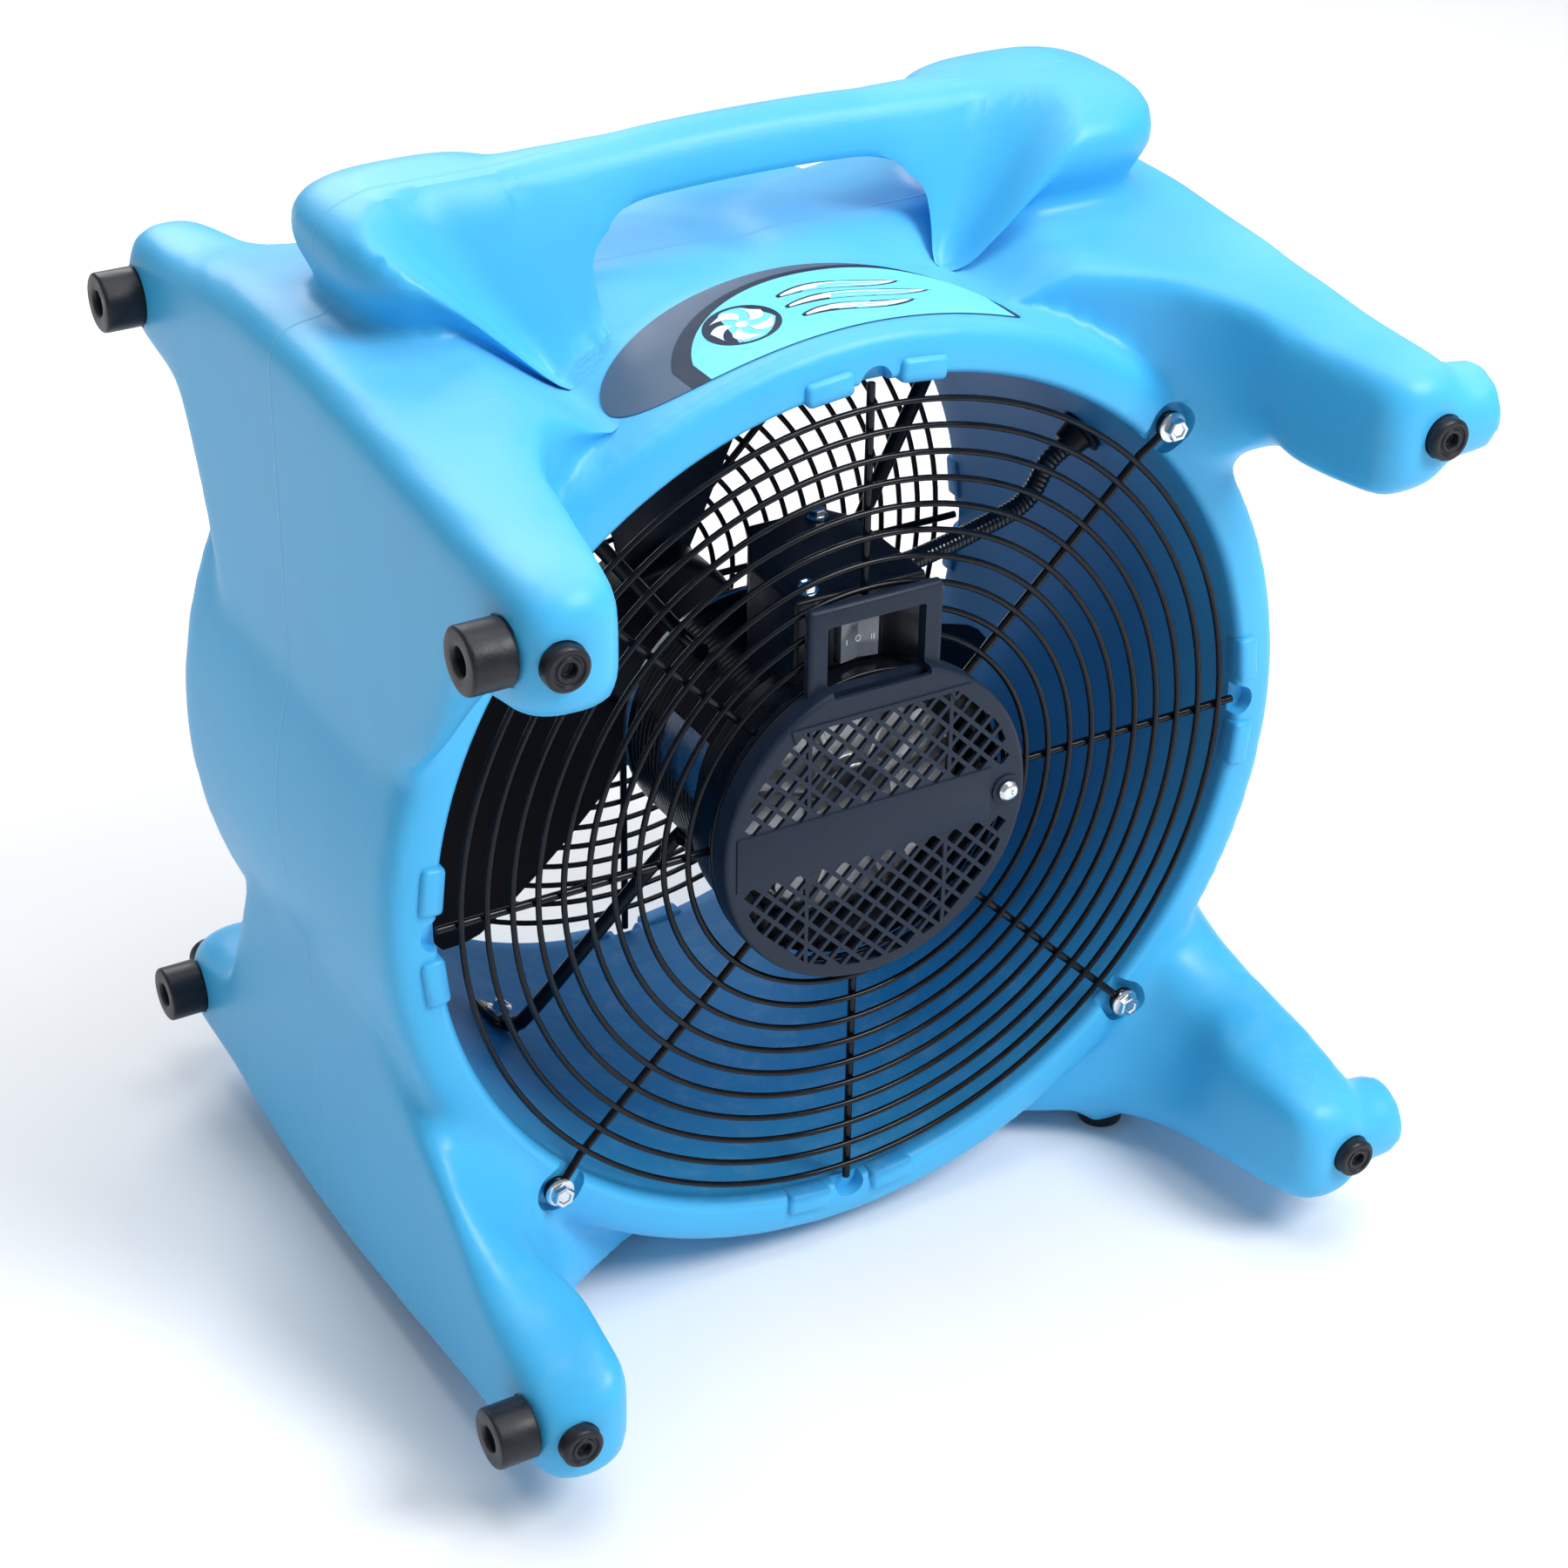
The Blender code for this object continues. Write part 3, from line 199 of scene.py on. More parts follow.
def housing_material():
    """Sky-blue moulded polyethylene: painted shade deepens the blue inside the duct, dust and a painted sheen lighten
    the upward faces, with the mould's parting line.
    """
    mat, tree, shader = new_material("moulded_blue")
    coords = node(tree, "ShaderNodeTexCoord")
    split = node(tree, "ShaderNodeSeparateXYZ")
    tree.links.new(coords.outputs["Object"], split.inputs["Vector"])
    x, y, z = split.outputs
    radius = maths(tree, "SQRT", maths(tree, "ADD", maths(tree, "MULTIPLY", x, x), maths(tree, "MULTIPLY", z, z)))
    # Painted shade: the bore wall inside the duct gets a deeper, darker blue, standing in for the shade that falls
    # inside it.
    inside = ramp(tree, radius, 0.2300, 0.2225)
    clouds = noise(tree, 7.0, 4.0)
    body = mix_color(tree, ramp(tree, clouds, 0.3, 0.7), (0.052, 0.43, 0.80), (0.070, 0.49, 0.87))
    # painted shade inside the duct
    body = mix_color(tree, inside, body, (0.008, 0.19, 0.50))
    # Dust and painted sheen: upward-facing surfaces high on the body are mixed towards a pale grey-blue, partly real
    # dust and partly a painted lighter top where light falls.
    geometry = node(tree, "ShaderNodeNewGeometry")
    facing = node(tree, "ShaderNodeSeparateXYZ")
    tree.links.new(geometry.outputs["Normal"], facing.inputs["Vector"])
    upward = ramp(tree, facing.outputs["Z"], 0.55, 0.98)
    speckle = ramp(tree, noise(tree, 55.0, 8.0, 0.75), 0.50, 0.72)
    height = ramp(tree, z, 0.12, 0.22)
    dust_and_sheen = maths(tree, "MULTIPLY", maths(tree, "MULTIPLY", upward, height), ramp(tree, clouds, 0.35, 0.65, 0.15, 0.5))
    dust_and_sheen = maths(tree, "MAXIMUM", maths(tree, "MULTIPLY", dust_and_sheen, 0.42),
                 maths(tree, "MULTIPLY", maths(tree, "MULTIPLY", upward, speckle), 0.16))
    body = mix_color(tree, dust_and_sheen, body, (0.42, 0.68, 0.84))
    seam_line = ramp(tree, maths(tree, "ABSOLUTE", maths(tree, "SUBTRACT", y, SEAM_Y)), 0.0011, 0.0002)
    seam_line = maths(tree, "MULTIPLY", seam_line, ramp(tree, radius, 0.245, 0.250))
    body = mix_color(tree, maths(tree, "MULTIPLY", seam_line, 0.22), body, (0.30, 0.66, 0.90))
    tree.links.new(body, shader.inputs["Base Color"])
    rough = maths(tree, "ADD", ramp(tree, clouds, 0.3, 0.7, 0.34, 0.42), maths(tree, "MULTIPLY", dust_and_sheen, 0.5))
    rough = maths(tree, "ADD", rough, maths(tree, "MULTIPLY", inside, 0.2))
    shader.inputs["Specular IOR Level"].default_value = 0.35
    tree.links.new(rough, shader.inputs["Roughness"])
    peel = bump(tree, noise(tree, 420.0, 3.0), 0.00010, 0.5)
    waves = bump(tree, noise(tree, 26.0, 2.0), 0.0016, 0.25, peel)
    tree.links.new(bump(tree, seam_line, 0.0005, 0.7, waves), shader.inputs["Normal"])
    shader.inputs["Subsurface Weight"].default_value = 0.08
    shader.inputs["Subsurface Radius"].default_value = (0.002, 0.006, 0.010)
    return mat


def rocker_material():
    mat, tree, shader = new_material("smoky_rocker")
    clouds = noise(tree, 300.0)
    tree.links.new(mix_color(tree, clouds, (0.10, 0.12, 0.15), (0.16, 0.18, 0.22)), shader.inputs["Base Color"])
    tree.links.new(ramp(tree, clouds, 0.3, 0.7, 0.12, 0.2), shader.inputs["Roughness"])
    shader.inputs["Coat Weight"].default_value = 0.6
    shader.inputs["Coat Roughness"].default_value = 0.1
    return mat


def decal_material(name, color):
    return simple_material(name, color, 0.45, vary=0.05, scale=40, grain=0.00002, gloss=0.3)


BLUE = housing_material()
RUBBER = simple_material("soft_rubber", (0.012, 0.014, 0.020), 0.40, vary=0.2, scale=120, grain=0.00008, gloss=0.30)
WIRE = simple_material("coated_wire", (0.0035, 0.0045, 0.0075), 0.20, vary=0.3, scale=90, grain=0.00003, gloss=0.22)
CHARCOAL = simple_material("charcoal_plastic", (0.011, 0.019, 0.038), 0.45, vary=0.12, scale=70, grain=0.00009,
                           gloss=0.25)
BLACK = simple_material("black_plastic", (0.006, 0.008, 0.013), 0.34, vary=0.2, scale=60, grain=0.00006, gloss=0.22)
FAN_BLACK = simple_material("fan_plastic", (0.004, 0.005, 0.009), 0.38, vary=0.2, scale=30, grain=0.00006, gloss=0.22)
PAINT = simple_material("black_paint", (0.004, 0.005, 0.008), 0.28, vary=0.3, scale=50, grain=0.00005, gloss=0.25)
ZINC = simple_material("bright_zinc", (0.72, 0.75, 0.78), 0.20, 1.0, 0.10, 180, 0.00003)
ALUMINIUM = simple_material("cast_aluminium", (0.66, 0.68, 0.70), 0.34, 1.0, 0.18, 90, 0.00018, 500)
STEEL = simple_material("ground_steel", (0.55, 0.56, 0.58), 0.25, 1.0, 0.1, 100, 0.00003)
COPPER = simple_material("copper_winding", (0.62, 0.28, 0.12), 0.35, 1.0, 0.25, 400, 0.0002, 700)
CONDUIT = simple_material("conduit_plastic", (0.006, 0.007, 0.011), 0.16, vary=0.2, scale=100, grain=0.00002,
                          gloss=0.6)
ROCKER = rocker_material()
MARKS = simple_material("white_marks", (0.75, 0.78, 0.80), 0.4, vary=0.04, scale=200, grain=0.00002)
LABEL_GREY = decal_material("label_grey", (0.085, 0.125, 0.185))
LABEL_NAVY = decal_material("label_navy", (0.006, 0.018, 0.045))
LABEL_CYAN = decal_material("label_cyan", (0.18, 0.70, 0.93))
LABEL_WHITE = decal_material("label_white", (0.80, 0.86, 0.90))


# ---- mesh helpers ------------------------------------------------------------------------------------
def add_piece(name, bm, mat, body="body", stands_for=(), angle=32.0, at=ON_AXIS):
    bmesh.ops.recalc_face_normals(bm, faces=bm.faces)
    mesh = bpy.data.meshes.new(name)
    bm.to_mesh(mesh)
    bm.free()
    piece = bpy.data.objects.new(name, mesh)
    bpy.context.scene.collection.objects.link(piece)
    piece.location = at
    mesh.materials.append(mat)
    mesh.shade_smooth()
    mesh.set_sharp_from_angle(angle=math.radians(angle))
    bpy.context.view_layer.update()
    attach(piece, body)
    if stands_for:
        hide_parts(*stands_for)
    return piece


def temp_object(bm, at=ON_AXIS):
    bmesh.ops.recalc_face_normals(bm, faces=bm.faces)
    mesh = bpy.data.meshes.new("temp")
    bm.to_mesh(mesh)
    bm.free()
    made = bpy.data.objects.new("temp", mesh)
    bpy.context.scene.collection.objects.link(made)
    made.location = at
    return made


def bake(piece, helpers=(), angle=32.0):
    """Applies a piece's modifiers, removes the shapes they used, and resets its shading."""
    bpy.context.view_layer.update()
    graph = bpy.context.evaluated_depsgraph_get()
    mesh = bpy.data.meshes.new_from_object(piece.evaluated_get(graph), depsgraph=graph)
    mesh.name = piece.name
    piece.modifiers.clear()
    piece.data = mesh
    for helper in helpers:
        bpy.data.objects.remove(helper, do_unlink=True)
    mesh.shade_smooth()
    mesh.set_sharp_from_angle(angle=math.radians(angle))
    return piece


def boolean(piece, other, operation="DIFFERENCE", use_self=False):
    mod = piece.modifiers.new(operation.lower(), "BOOLEAN")
    mod.operation = operation
    mod.solver = "EXACT"
    mod.use_self = use_self
    mod.object = other


def turned(profile, segments, ring=False):
    """Turn (radius, height) points about Z: from axis to axis, or round a closed ring."""
    bm = bmesh.new()
    rows = []
    for radius, height in profile:
        if radius < 1e-9:
            rows.append([bm.verts.new((0, 0, height))])
            continue
        turn = [2 * math.pi * k / segments for k in range(segments)]
        rows.append([bm.verts.new((radius * math.cos(a), radius * math.sin(a), height)) for a in turn])
    pairs = list(zip(rows, rows[1:]))
    if ring:
        pairs.append((rows[-1], rows[0]))
    for lower, upper in pairs:
        for k in range(segments):
            n = (k + 1) % segments
            if len(lower) == 1:
                bm.faces.new((lower[0], upper[k], upper[n]))
            elif len(upper) == 1:
                bm.faces.new((lower[k], lower[n], upper[0]))
            else:
                bm.faces.new((lower[k], lower[n], upper[n], upper[k]))
    return bm


def rounded(profile, radius, steps=4):
    """A profile with its inner corners rounded."""
    points = [Vector(p) for p in profile]
    made = [points[0]]
    for before, corner, after in zip(points, points[1:], points[2:]):
        reach = min(radius, (before - corner).length * 0.45, (after - corner).length * 0.45)
        start = corner + (before - corner).normalized() * reach
        end = corner + (after - corner).normalized() * reach
        for k in range(steps + 1):
            t = k / steps
            made.append(start * (1 - t) ** 2 + corner * 2 * t * (1 - t) + end * t ** 2)
    made.append(points[-1])
    return [tuple(p) for p in made]


def moved(bm, matrix):
    bmesh.ops.transform(bm, matrix=matrix, verts=bm.verts)
    return bm


def joined(parts):
    whole = bmesh.new()
    for part in parts:
        bmesh.ops.recalc_face_normals(part, faces=part.faces)
        mesh = bpy.data.meshes.new("temp")
        part.to_mesh(mesh)
        part.free()
        whole.from_mesh(mesh)
        bpy.data.meshes.remove(mesh)
    return whole


def block(low, high):
    bm = bmesh.new()
    bmesh.ops.create_cube(bm, size=1)
    size = Vector(high) - Vector(low)
    middle = (Vector(high) + Vector(low)) / 2
    return moved(bm, Matrix.Translation(middle) @ Matrix.Diagonal((*size, 1)))


def round_block(low, high, radius, segments=3):
    bm = block(low, high)
    bmesh.ops.bevel(bm, geom=bm.edges, offset=radius, segments=segments, affect="EDGES", profile=0.5)
    return bm


def loft(rings, closed=False):
    bm = bmesh.new()
    rows = [[bm.verts.new(p) for p in ring] for ring in rings]
    count = len(rings[0])
    pairs = list(zip(rows, rows[1:]))
    if closed:
        pairs.append((rows[-1], rows[0]))
    for lower, upper in pairs:
        for k in range(count):
            n = (k + 1) % count
            bm.faces.new((lower[k], lower[n], upper[n], upper[k]))
    if not closed:
        bm.faces.new(rows[0])
        bm.faces.new(rows[-1])
    return bm


def rod(points, radius, sides=10, closed=False):
    """A round rod along points; radius may be one number or one for each point."""
    points = [Vector(p) for p in points]
    count = len(points)
    radii = radius if isinstance(radius, list) else [radius] * count
    rings = []
    side = None
    for i, point in enumerate(points):
        before = points[i - 1] if closed or i else point
        after = points[(i + 1) % count] if closed or i < count - 1 else point
        tangent = (after - before).normalized()
        if side is None:
            side = tangent.orthogonal().normalized()
        side = (side - tangent * side.dot(tangent)).normalized()
        across = tangent.cross(side)
        rings.append([point + (side * math.cos(a) + across * math.sin(a)) * radii[i]
                      for a in (2 * math.pi * k / sides for k in range(sides))])
    return loft(rings, closed)


def smooth_route(points, steps):
    points = [Vector(p) for p in points]
    padded = [points[0] * 2 - points[1], *points, points[-1] * 2 - points[-2]]
    route = []
    for a, b, c, d in zip(padded, padded[1:], padded[2:], padded[3:]):
        for k in range(steps):
            t = k / steps
            route.append(0.5 * (2 * b + (c - a) * t + (2 * a - 5 * b + 4 * c - d) * t ** 2
                                + (3 * b - a - 3 * c + d) * t ** 3))
    route.append(points[-1])
    return route


def polar(radius, degrees, y=0.0):
    a = math.radians(degrees)
    return Vector((radius * math.cos(a), y, radius * math.sin(a)))


def bore_radius(y):
    return BORE_FRONT_R + (BORE_REAR_R - BORE_FRONT_R) * (y - FRONT_Y) / (REAR_Y - FRONT_Y)


def toward(direction):
    return Vector((0, 0, 1)).rotation_difference(Vector(direction)).to_matrix().to_4x4()


def pin_cut(point, direction, radius, below, above, sides=24):
    profile = [(0, -below), (radius, -below), (radius, above), (0, above)]
    return moved(turned(profile, sides), Matrix.Translation(point) @ toward(direction))


def eased(table, y):
    """A smooth curve through a table of (place, values...), read at a place."""
    rows = [r if isinstance(r[1], tuple) else (r[0], tuple(r[1:])) for r in table]
    if y <= rows[0][0]:
        return rows[0][1]
    for i, ((y0, a), (y1, b)) in enumerate(zip(rows, rows[1:])):
        if y > y1:
            continue
        t = (y - y0) / (y1 - y0)
        yp, p = rows[max(0, i - 1)]
        yn, n = rows[min(len(rows) - 1, i + 2)]
        made = []
        for va, vb, vp, vn in zip(a, b, p, n):
            step = (vb - va) / (y1 - y0)
            back = (va - vp) / (y0 - yp) if y0 > yp else step
            ahead = (vn - vb) / (yn - y1) if yn > y1 else step
            m0 = 2 * step * back / (step + back) if step * back > 0 else 0.0
            m1 = 2 * step * ahead / (step + ahead) if step * ahead > 0 else 0.0
            h = y1 - y0
            made.append(va * (2 * t ** 3 - 3 * t ** 2 + 1) + m0 * h * (t ** 3 - 2 * t ** 2 + t)
                        + vb * (3 * t ** 2 - 2 * t ** 3) + m1 * h * (t ** 3 - t ** 2))
        return tuple(made)
    return rows[-1][1]


# ---- housing -----------------------------------------------------------------------------------------
LEFT_UPPER_EDGE = ((-0.227, 0.185), (-0.210, 0.172), (-0.162, 0.160), (-0.128, 0.106), (-0.070, 0.056),
                   (-0.030, 0.020), (0.010, 0.0), (0.053, 0.0), (0.093, 0.020), (0.120, 0.070),
                   (0.142, 0.130), (0.162, 0.166), (0.210, 0.178), (0.227, 0.190))
LEFT_LOWER_EDGE = ((-0.227, 0.198), (-0.210, 0.186), (-0.162, 0.160), (-0.128, 0.127), (-0.058, 0.079),
                   (-0.030, 0.040), (0.010, 0.0), (0.053, 0.0), (0.093, 0.035), (0.120, 0.085),
                   (0.142, 0.130), (0.162, 0.166), (0.210, 0.178), (0.227, 0.190))
RIGHT_EDGE = ((-0.227, 0.185), (-0.210, 0.172), (-0.162, 0.158), (-0.115, 0.152), (-0.070, 0.146),
              (-0.045, 0.110), (-0.010, 0.030), (0.010, 0.0), (0.053, 0.0), (0.090, 0.060), (0.110, 0.120),
              (0.142, 0.150), (0.162, 0.166), (0.210, 0.178), (0.227, 0.190))
CORNER_SECTIONS = (
    (-0.2270, 0.205, 0.185, 0.205, 0.226),
    (-0.2230, 0.197, 0.177, 0.197, 0.233),
    (-0.2100, 0.193, 0.172, 0.193, 0.2375),
    (-0.1620, 0.190, 0.170, 0.183, 0.240),
    (-0.1280, 0.200, 0.165, 0.176, 0.243),
    (-0.0970, 0.190, 0.140, 0.160, 0.246),
    (-0.0700, 0.170, 0.080, 0.120, 0.249),
    (-0.0300, 0.150, 0.020, 0.040, 0.252),
    (0.0100, 0.150, 0.000, 0.000, BODY_TOP_Z),
    (0.0530, 0.150, 0.000, 0.000, BODY_TOP_Z),
    (0.0930, 0.150, 0.020, 0.040, 0.252),
    (0.1200, 0.170, 0.080, 0.120, 0.249),
    (0.1420, 0.195, 0.150, 0.165, 0.245),
    (0.1620, 0.195, 0.170, 0.183, 0.241),
    (0.2100, 0.195, 0.176, 0.195, 0.2375),
    (0.2230, 0.199, 0.180, 0.199, 0.233),
    (0.2270, 0.207, 0.188, 0.207, 0.226),
)
POD_LEVELS = ((0.200, 0.046, 0.046), (0.254, 0.046, 0.046), (0.268, 0.050, 0.053), (0.283, 0.057, 0.060),
              (0.294, 0.057, 0.057), (0.304, 0.049, 0.046), (POD_TOP_Z, 0.030, 0.026))


def corner_column(side, level):
    edge = RIGHT_EDGE if side > 0 else (LEFT_UPPER_EDGE if level > 0 else LEFT_LOWER_EDGE)
    rings = []
    count = 76
    for i in range(count + 1):
        y = -TIP_Y + 2 * TIP_Y * i / count
        inner_x, inner_z, top_x, top_z = eased(CORNER_SECTIONS, y)
        side_z = eased(edge, y)[0]
        outer = SIDE_X - max(0.0, (abs(y) - 0.21) / (TIP_Y - 0.21)) ** 2 * 0.010
        corners = [Vector(c) for c in ((outer, top_z), (outer, side_z), (inner_x, inner_z), (top_x, top_z))]
        ring = []
        for k, corner in enumerate(corners):
            before = corners[k - 1]
            after = corners[(k + 1) % 4]
            reach = 0.020 if k != 2 else 0.016
            start = corner + (before - corner).normalized() * min(reach, (before - corner).length * 0.45)
            end = corner + (after - corner).normalized() * min(reach, (after - corner).length * 0.45)
            for j in range(8):
                t = j / 7
                p = start * (1 - t) ** 2 + corner * 2 * t * (1 - t) + end * t ** 2
                ring.append((side * p.x, y, level * p.y))
        rings.append(ring)
    return loft(rings)


def handle_pod(side):
    rings = []
    for i in range(25):
        z = POD_LEVELS[0][0] + (POD_TOP_Z - POD_LEVELS[0][0]) * i / 24
        half_x, half_y = eased(POD_LEVELS, z)
        ring = []
        for k in range(56):
            a = 2 * math.pi * k / 56
            c = math.cos(a)
            s = math.sin(a)
            ring.append((side * POD_X + math.copysign(abs(c) ** (2 / 3), c) * half_x,
                         SEAM_Y + math.copysign(abs(s) ** (2 / 3), s) * half_y, z))
        rings.append(ring)
    return loft(rings)


def grip():
    rings = []
    for i in range(41):
        x = -0.130 + 0.260 * i / 40
        middle_z = GRIP_TOP_Z - 0.0155 - 0.006 * (abs(x) / 0.13) ** 2
        depth = 0.018 + 0.018 * max(0.0, (abs(x) - 0.06) / 0.07) ** 1.5
        rings.append([(x, SEAM_Y + depth * math.cos(a), middle_z + 0.0155 * math.sin(a))
                      for a in (2 * math.pi * k / 28 for k in range(28))])
    return loft(rings)


def housing_volumes():
    drum = rounded([(0, FRONT_Y), (DRUM_R, FRONT_Y), (DRUM_R, REAR_Y), (0, REAR_Y)], 0.011, 5)
    parts = [moved(turned(drum, 160), TO_REAR)]
    boss = rounded([(0, SIDE_X - 0.03), (BOSS_R, SIDE_X - 0.03), (BOSS_R, HALF_WIDTH + 0.003),
                    (0, HALF_WIDTH + 0.003)], 0.006)
    for side in (-1, 1):
        parts.append(handle_pod(side))
        for level in (-1, 1):
            parts.append(corner_column(side, level))
        for y in FOOT_Y:
            half = FOOT_R + 0.005
            x = side * FOOT_X
            parts.append(round_block((x - half, y - half, FOOT_SEAT_Z - 0.003), (x + half, y + half, -0.17), 0.007))
    parts.append(grip())
    for y in (-BUMPER_Y, BUMPER_Y):
        for z in (-BUMPER_Z, BUMPER_Z):
            at = Matrix.Translation((0, y, z)) @ Matrix.Rotation(math.pi / 2, 4, "Y")
            parts.append(moved(turned(boss, 48), at))
    return joined(parts)


def duct_cutter():
    lip = 0.005
    profile = [(0, FRONT_Y - 0.08), (BORE_FRONT_R + 0.012, FRONT_Y - 0.08), (BORE_FRONT_R + lip, FRONT_Y)]
    for k in range(1, 6):
        a = math.radians(90 * k / 5)
        profile.append((BORE_FRONT_R + lip - lip * math.sin(a), FRONT_Y + lip - lip * math.cos(a)))
    for k in range(1, 12):
        y = FRONT_Y + lip + (REAR_Y - FRONT_Y - 2 * lip) * k / 12
        profile.append((bore_radius(y), y))
    for k in range(6):
        a = math.radians(90 * k / 5)
        profile.append((BORE_REAR_R + lip - lip * math.cos(a), REAR_Y - lip + lip * math.sin(a)))
    profile += [(BORE_REAR_R + 0.012, REAR_Y + 0.08), (0, REAR_Y + 0.08)]
    return moved(turned(profile, 160), TO_REAR)


def teardrop(centre, angle, out):
    """The pocket round a guard bolt: round outside, drawn out towards the duct along its spoke."""
    outline = []
    for k in range(25):
        a = math.radians(-110 + 220 * k / 24)
        outline.append((0.0118 * math.cos(a), 0.0118 * math.sin(a)))
    outline += [(-0.024, 0.0058), (-0.024, -0.0058)]
    turn = Matrix.Rotation(-math.radians(angle), 4, "Y")
    rings = []
    for depth, grow in ((0.0, 0.94), (0.001, 1.0), (0.03, 1.25)):
        rings.append([centre + turn @ Vector((px * grow, out * depth, pz * grow)) for px, pz in outline])
    return loft(rings)


def rim_cuts():
    pockets = []
    holes = []
    for face, out in ((FRONT_Y, -1), (REAR_Y, 1)):
        floor = face - out * POCKET_DEPTH
        for angle in DIAGONALS:
            centre = polar(GUARD_BOLT_R, angle, floor)
            pockets.append(teardrop(centre, angle, out))
            holes.append(pin_cut(centre, (0, out, 0), 0.0034, 0.014, 0.004))
        for angle in CARDINALS:
            centre = polar(bore_radius(face) + 0.001, angle, face)
            pockets.append(pin_cut(centre, (0, out, 0), 0.0085, 0.008, 0.02, 32))
    return joined(pockets), joined(holes)


def seat_cuts():
    cuts = [block((HALF_WIDTH, -0.4, -0.4), (0.4, 0.4, 0.4))]
    for y in (-BUMPER_Y, BUMPER_Y):
        for z in (-BUMPER_Z, BUMPER_Z):
            cuts.append(pin_cut((-SIDE_SEAT_X, y, z), (-1, 0, 0), SIDE_BUMPER_R + 0.0006, 0, 0.03, 40))
    for out in (-1, 1):
        for x in (-FACE_BUMPER_X, FACE_BUMPER_X):
            for z in (-BUMPER_Z, BUMPER_Z):
                cuts.append(pin_cut((x, out * FACE_SEAT_Y, z), (0, out, 0), FACE_BUMPER_R + 0.0006, 0, 0.03, 36))
    for x in (-FOOT_X, FOOT_X):
        for y in FOOT_Y:
            cuts.append(pin_cut((x, y, FOOT_SEAT_Z), (0, 0, -1), 0.0136, 0, 0.03, 32))
    for angle in STRUT_ANGLES:
        wall = polar(bore_radius(STRUT_BOLT_Y), angle, STRUT_BOLT_Y)
        cuts.append(pin_cut(wall, polar(1, angle), 0.0034, 0.005, 0.012))
    wall = polar(bore_radius(GLAND_Y), GLAND_ANGLE, GLAND_Y)
    cuts.append(pin_cut(wall, polar(1, GLAND_ANGLE), 0.0120, 0.006, 0.010))
    return joined(cuts)


def rim_pads():
    """The low raised pads either side of each notch, on both rims."""
    pads = []
    for face, out in ((FRONT_Y, -1), (REAR_Y, 1)):
        inner = bore_radius(face)
        for angle in CARDINALS:
            for offset in (-6.2, 6.2):
                low = min(face - out * 0.010, face + out * 0.0030)
                pad = round_block((inner - 0.0015, low, -0.0125), (inner + 0.0105, low + 0.0130, 0.0125), 0.0028)
                pads.append(moved(pad, Matrix.Rotation(-math.radians(angle + offset), 4, "Y")))
    return joined(pads)


def settle_label(mesh):
    """Eases the surface round the label down to the label's own curve."""
    for vertex in mesh.vertices:
        x, y, z = vertex.co
        radius = math.hypot(x, z)
        if radius < DECAL_R or z < 0:
            continue
        across = (90 - DECAL_TURN - math.degrees(math.atan2(z, x))) * math.pi / 180 * DECAL_R
        side = abs(across) - math.radians(DECAL_HALF_ANGLE) * DECAL_R
        back = y - DECAL_BACK_Y
        gap = math.hypot(max(0.0, side), max(0.0, back))
        ease = max(0.0, 1 - gap / 0.030)
        ease = ease * ease * (3 - 2 * ease)
        drop = (radius - DECAL_R + 0.0004) * ease
        vertex.co.x -= drop * x / radius
        vertex.co.z -= drop * z / radius


def housing():
    raw = housing_volumes()
    shell = add_piece("housing_shell", raw, BLUE, stands_for=("housing",))
    remesh = shell.modifiers.new("blend", "REMESH")
    remesh.mode = "VOXEL"
    remesh.voxel_size = VOXEL
    smooth = shell.modifiers.new("soften", "SMOOTH")
    smooth.factor = 0.5
    smooth.iterations = SOFTEN_STEPS
    bake(shell)
    settle_label(shell.data)
    pockets, holes = rim_cuts()
    helpers = [temp_object(duct_cutter()), temp_object(rim_pads()), temp_object(pockets), temp_object(holes),
               temp_object(seat_cuts())]
    boolean(shell, helpers[0])
    boolean(shell, helpers[1], "UNION")
    boolean(shell, helpers[2], use_self=True)
    boolean(shell, helpers[3])
    boolean(shell, helpers[4])
    bake(shell, helpers, 38.0)


# ---- label -------------------------------------------------------------------------------------------
def decal_edges(share):
    """The label's front and back edges; they meet in a round end on the left and a point on the right."""
    rise = math.sqrt(max(0.0, 1 - abs(share) ** 2.2))
    meet = DECAL_FRONT_Y + (0.024 if share > 0 else 0.006)
    return (DECAL_FRONT_Y + (meet - DECAL_FRONT_Y) * (1 - rise) ** 1.5,
            meet + (DECAL_BACK_Y - meet) * rise)


def decal_slab(start, stop, inner, outer, grow=0.0, low=None, high=None):
    """A curved slab of the label between two shares of its width (0 left, 1 right)."""
    rings = []
    count = 48
    for k in range(count + 1):
        place = start + (stop - start) * (1 - math.cos(math.pi * k / count)) / 2
        share = 1 - 2 * place
        angle = 90 - DECAL_TURN + share * (DECAL_HALF_ANGLE + math.degrees(grow / outer))
        low_y, high_y = decal_edges(share)
        if low:
            low_y = max(low_y, low(place))
        if high:
            high_y = min(high_y, high(place))
        high_y = max(high_y, low_y + 0.0004)
        rings.append([polar(inner, angle, low_y - grow), polar(outer, angle, low_y - grow),
                      polar(outer, angle, high_y + grow), polar(inner, angle, high_y + grow)])
    return loft(rings)


def on_label(across, y, lift):
    """A point on the label: distance across it from its middle, and along the fan's axis."""
    angle = 90 - DECAL_TURN - math.degrees(across / DECAL_R)
    return polar(DECAL_R + lift, angle, y)


def label_patch(outline, lift, thick=0.00012):
    lower = [on_label(a, y, lift) for a, y in outline]
    upper = [on_label(a, y, lift + thick) for a, y in outline]
    return loft([lower, upper])


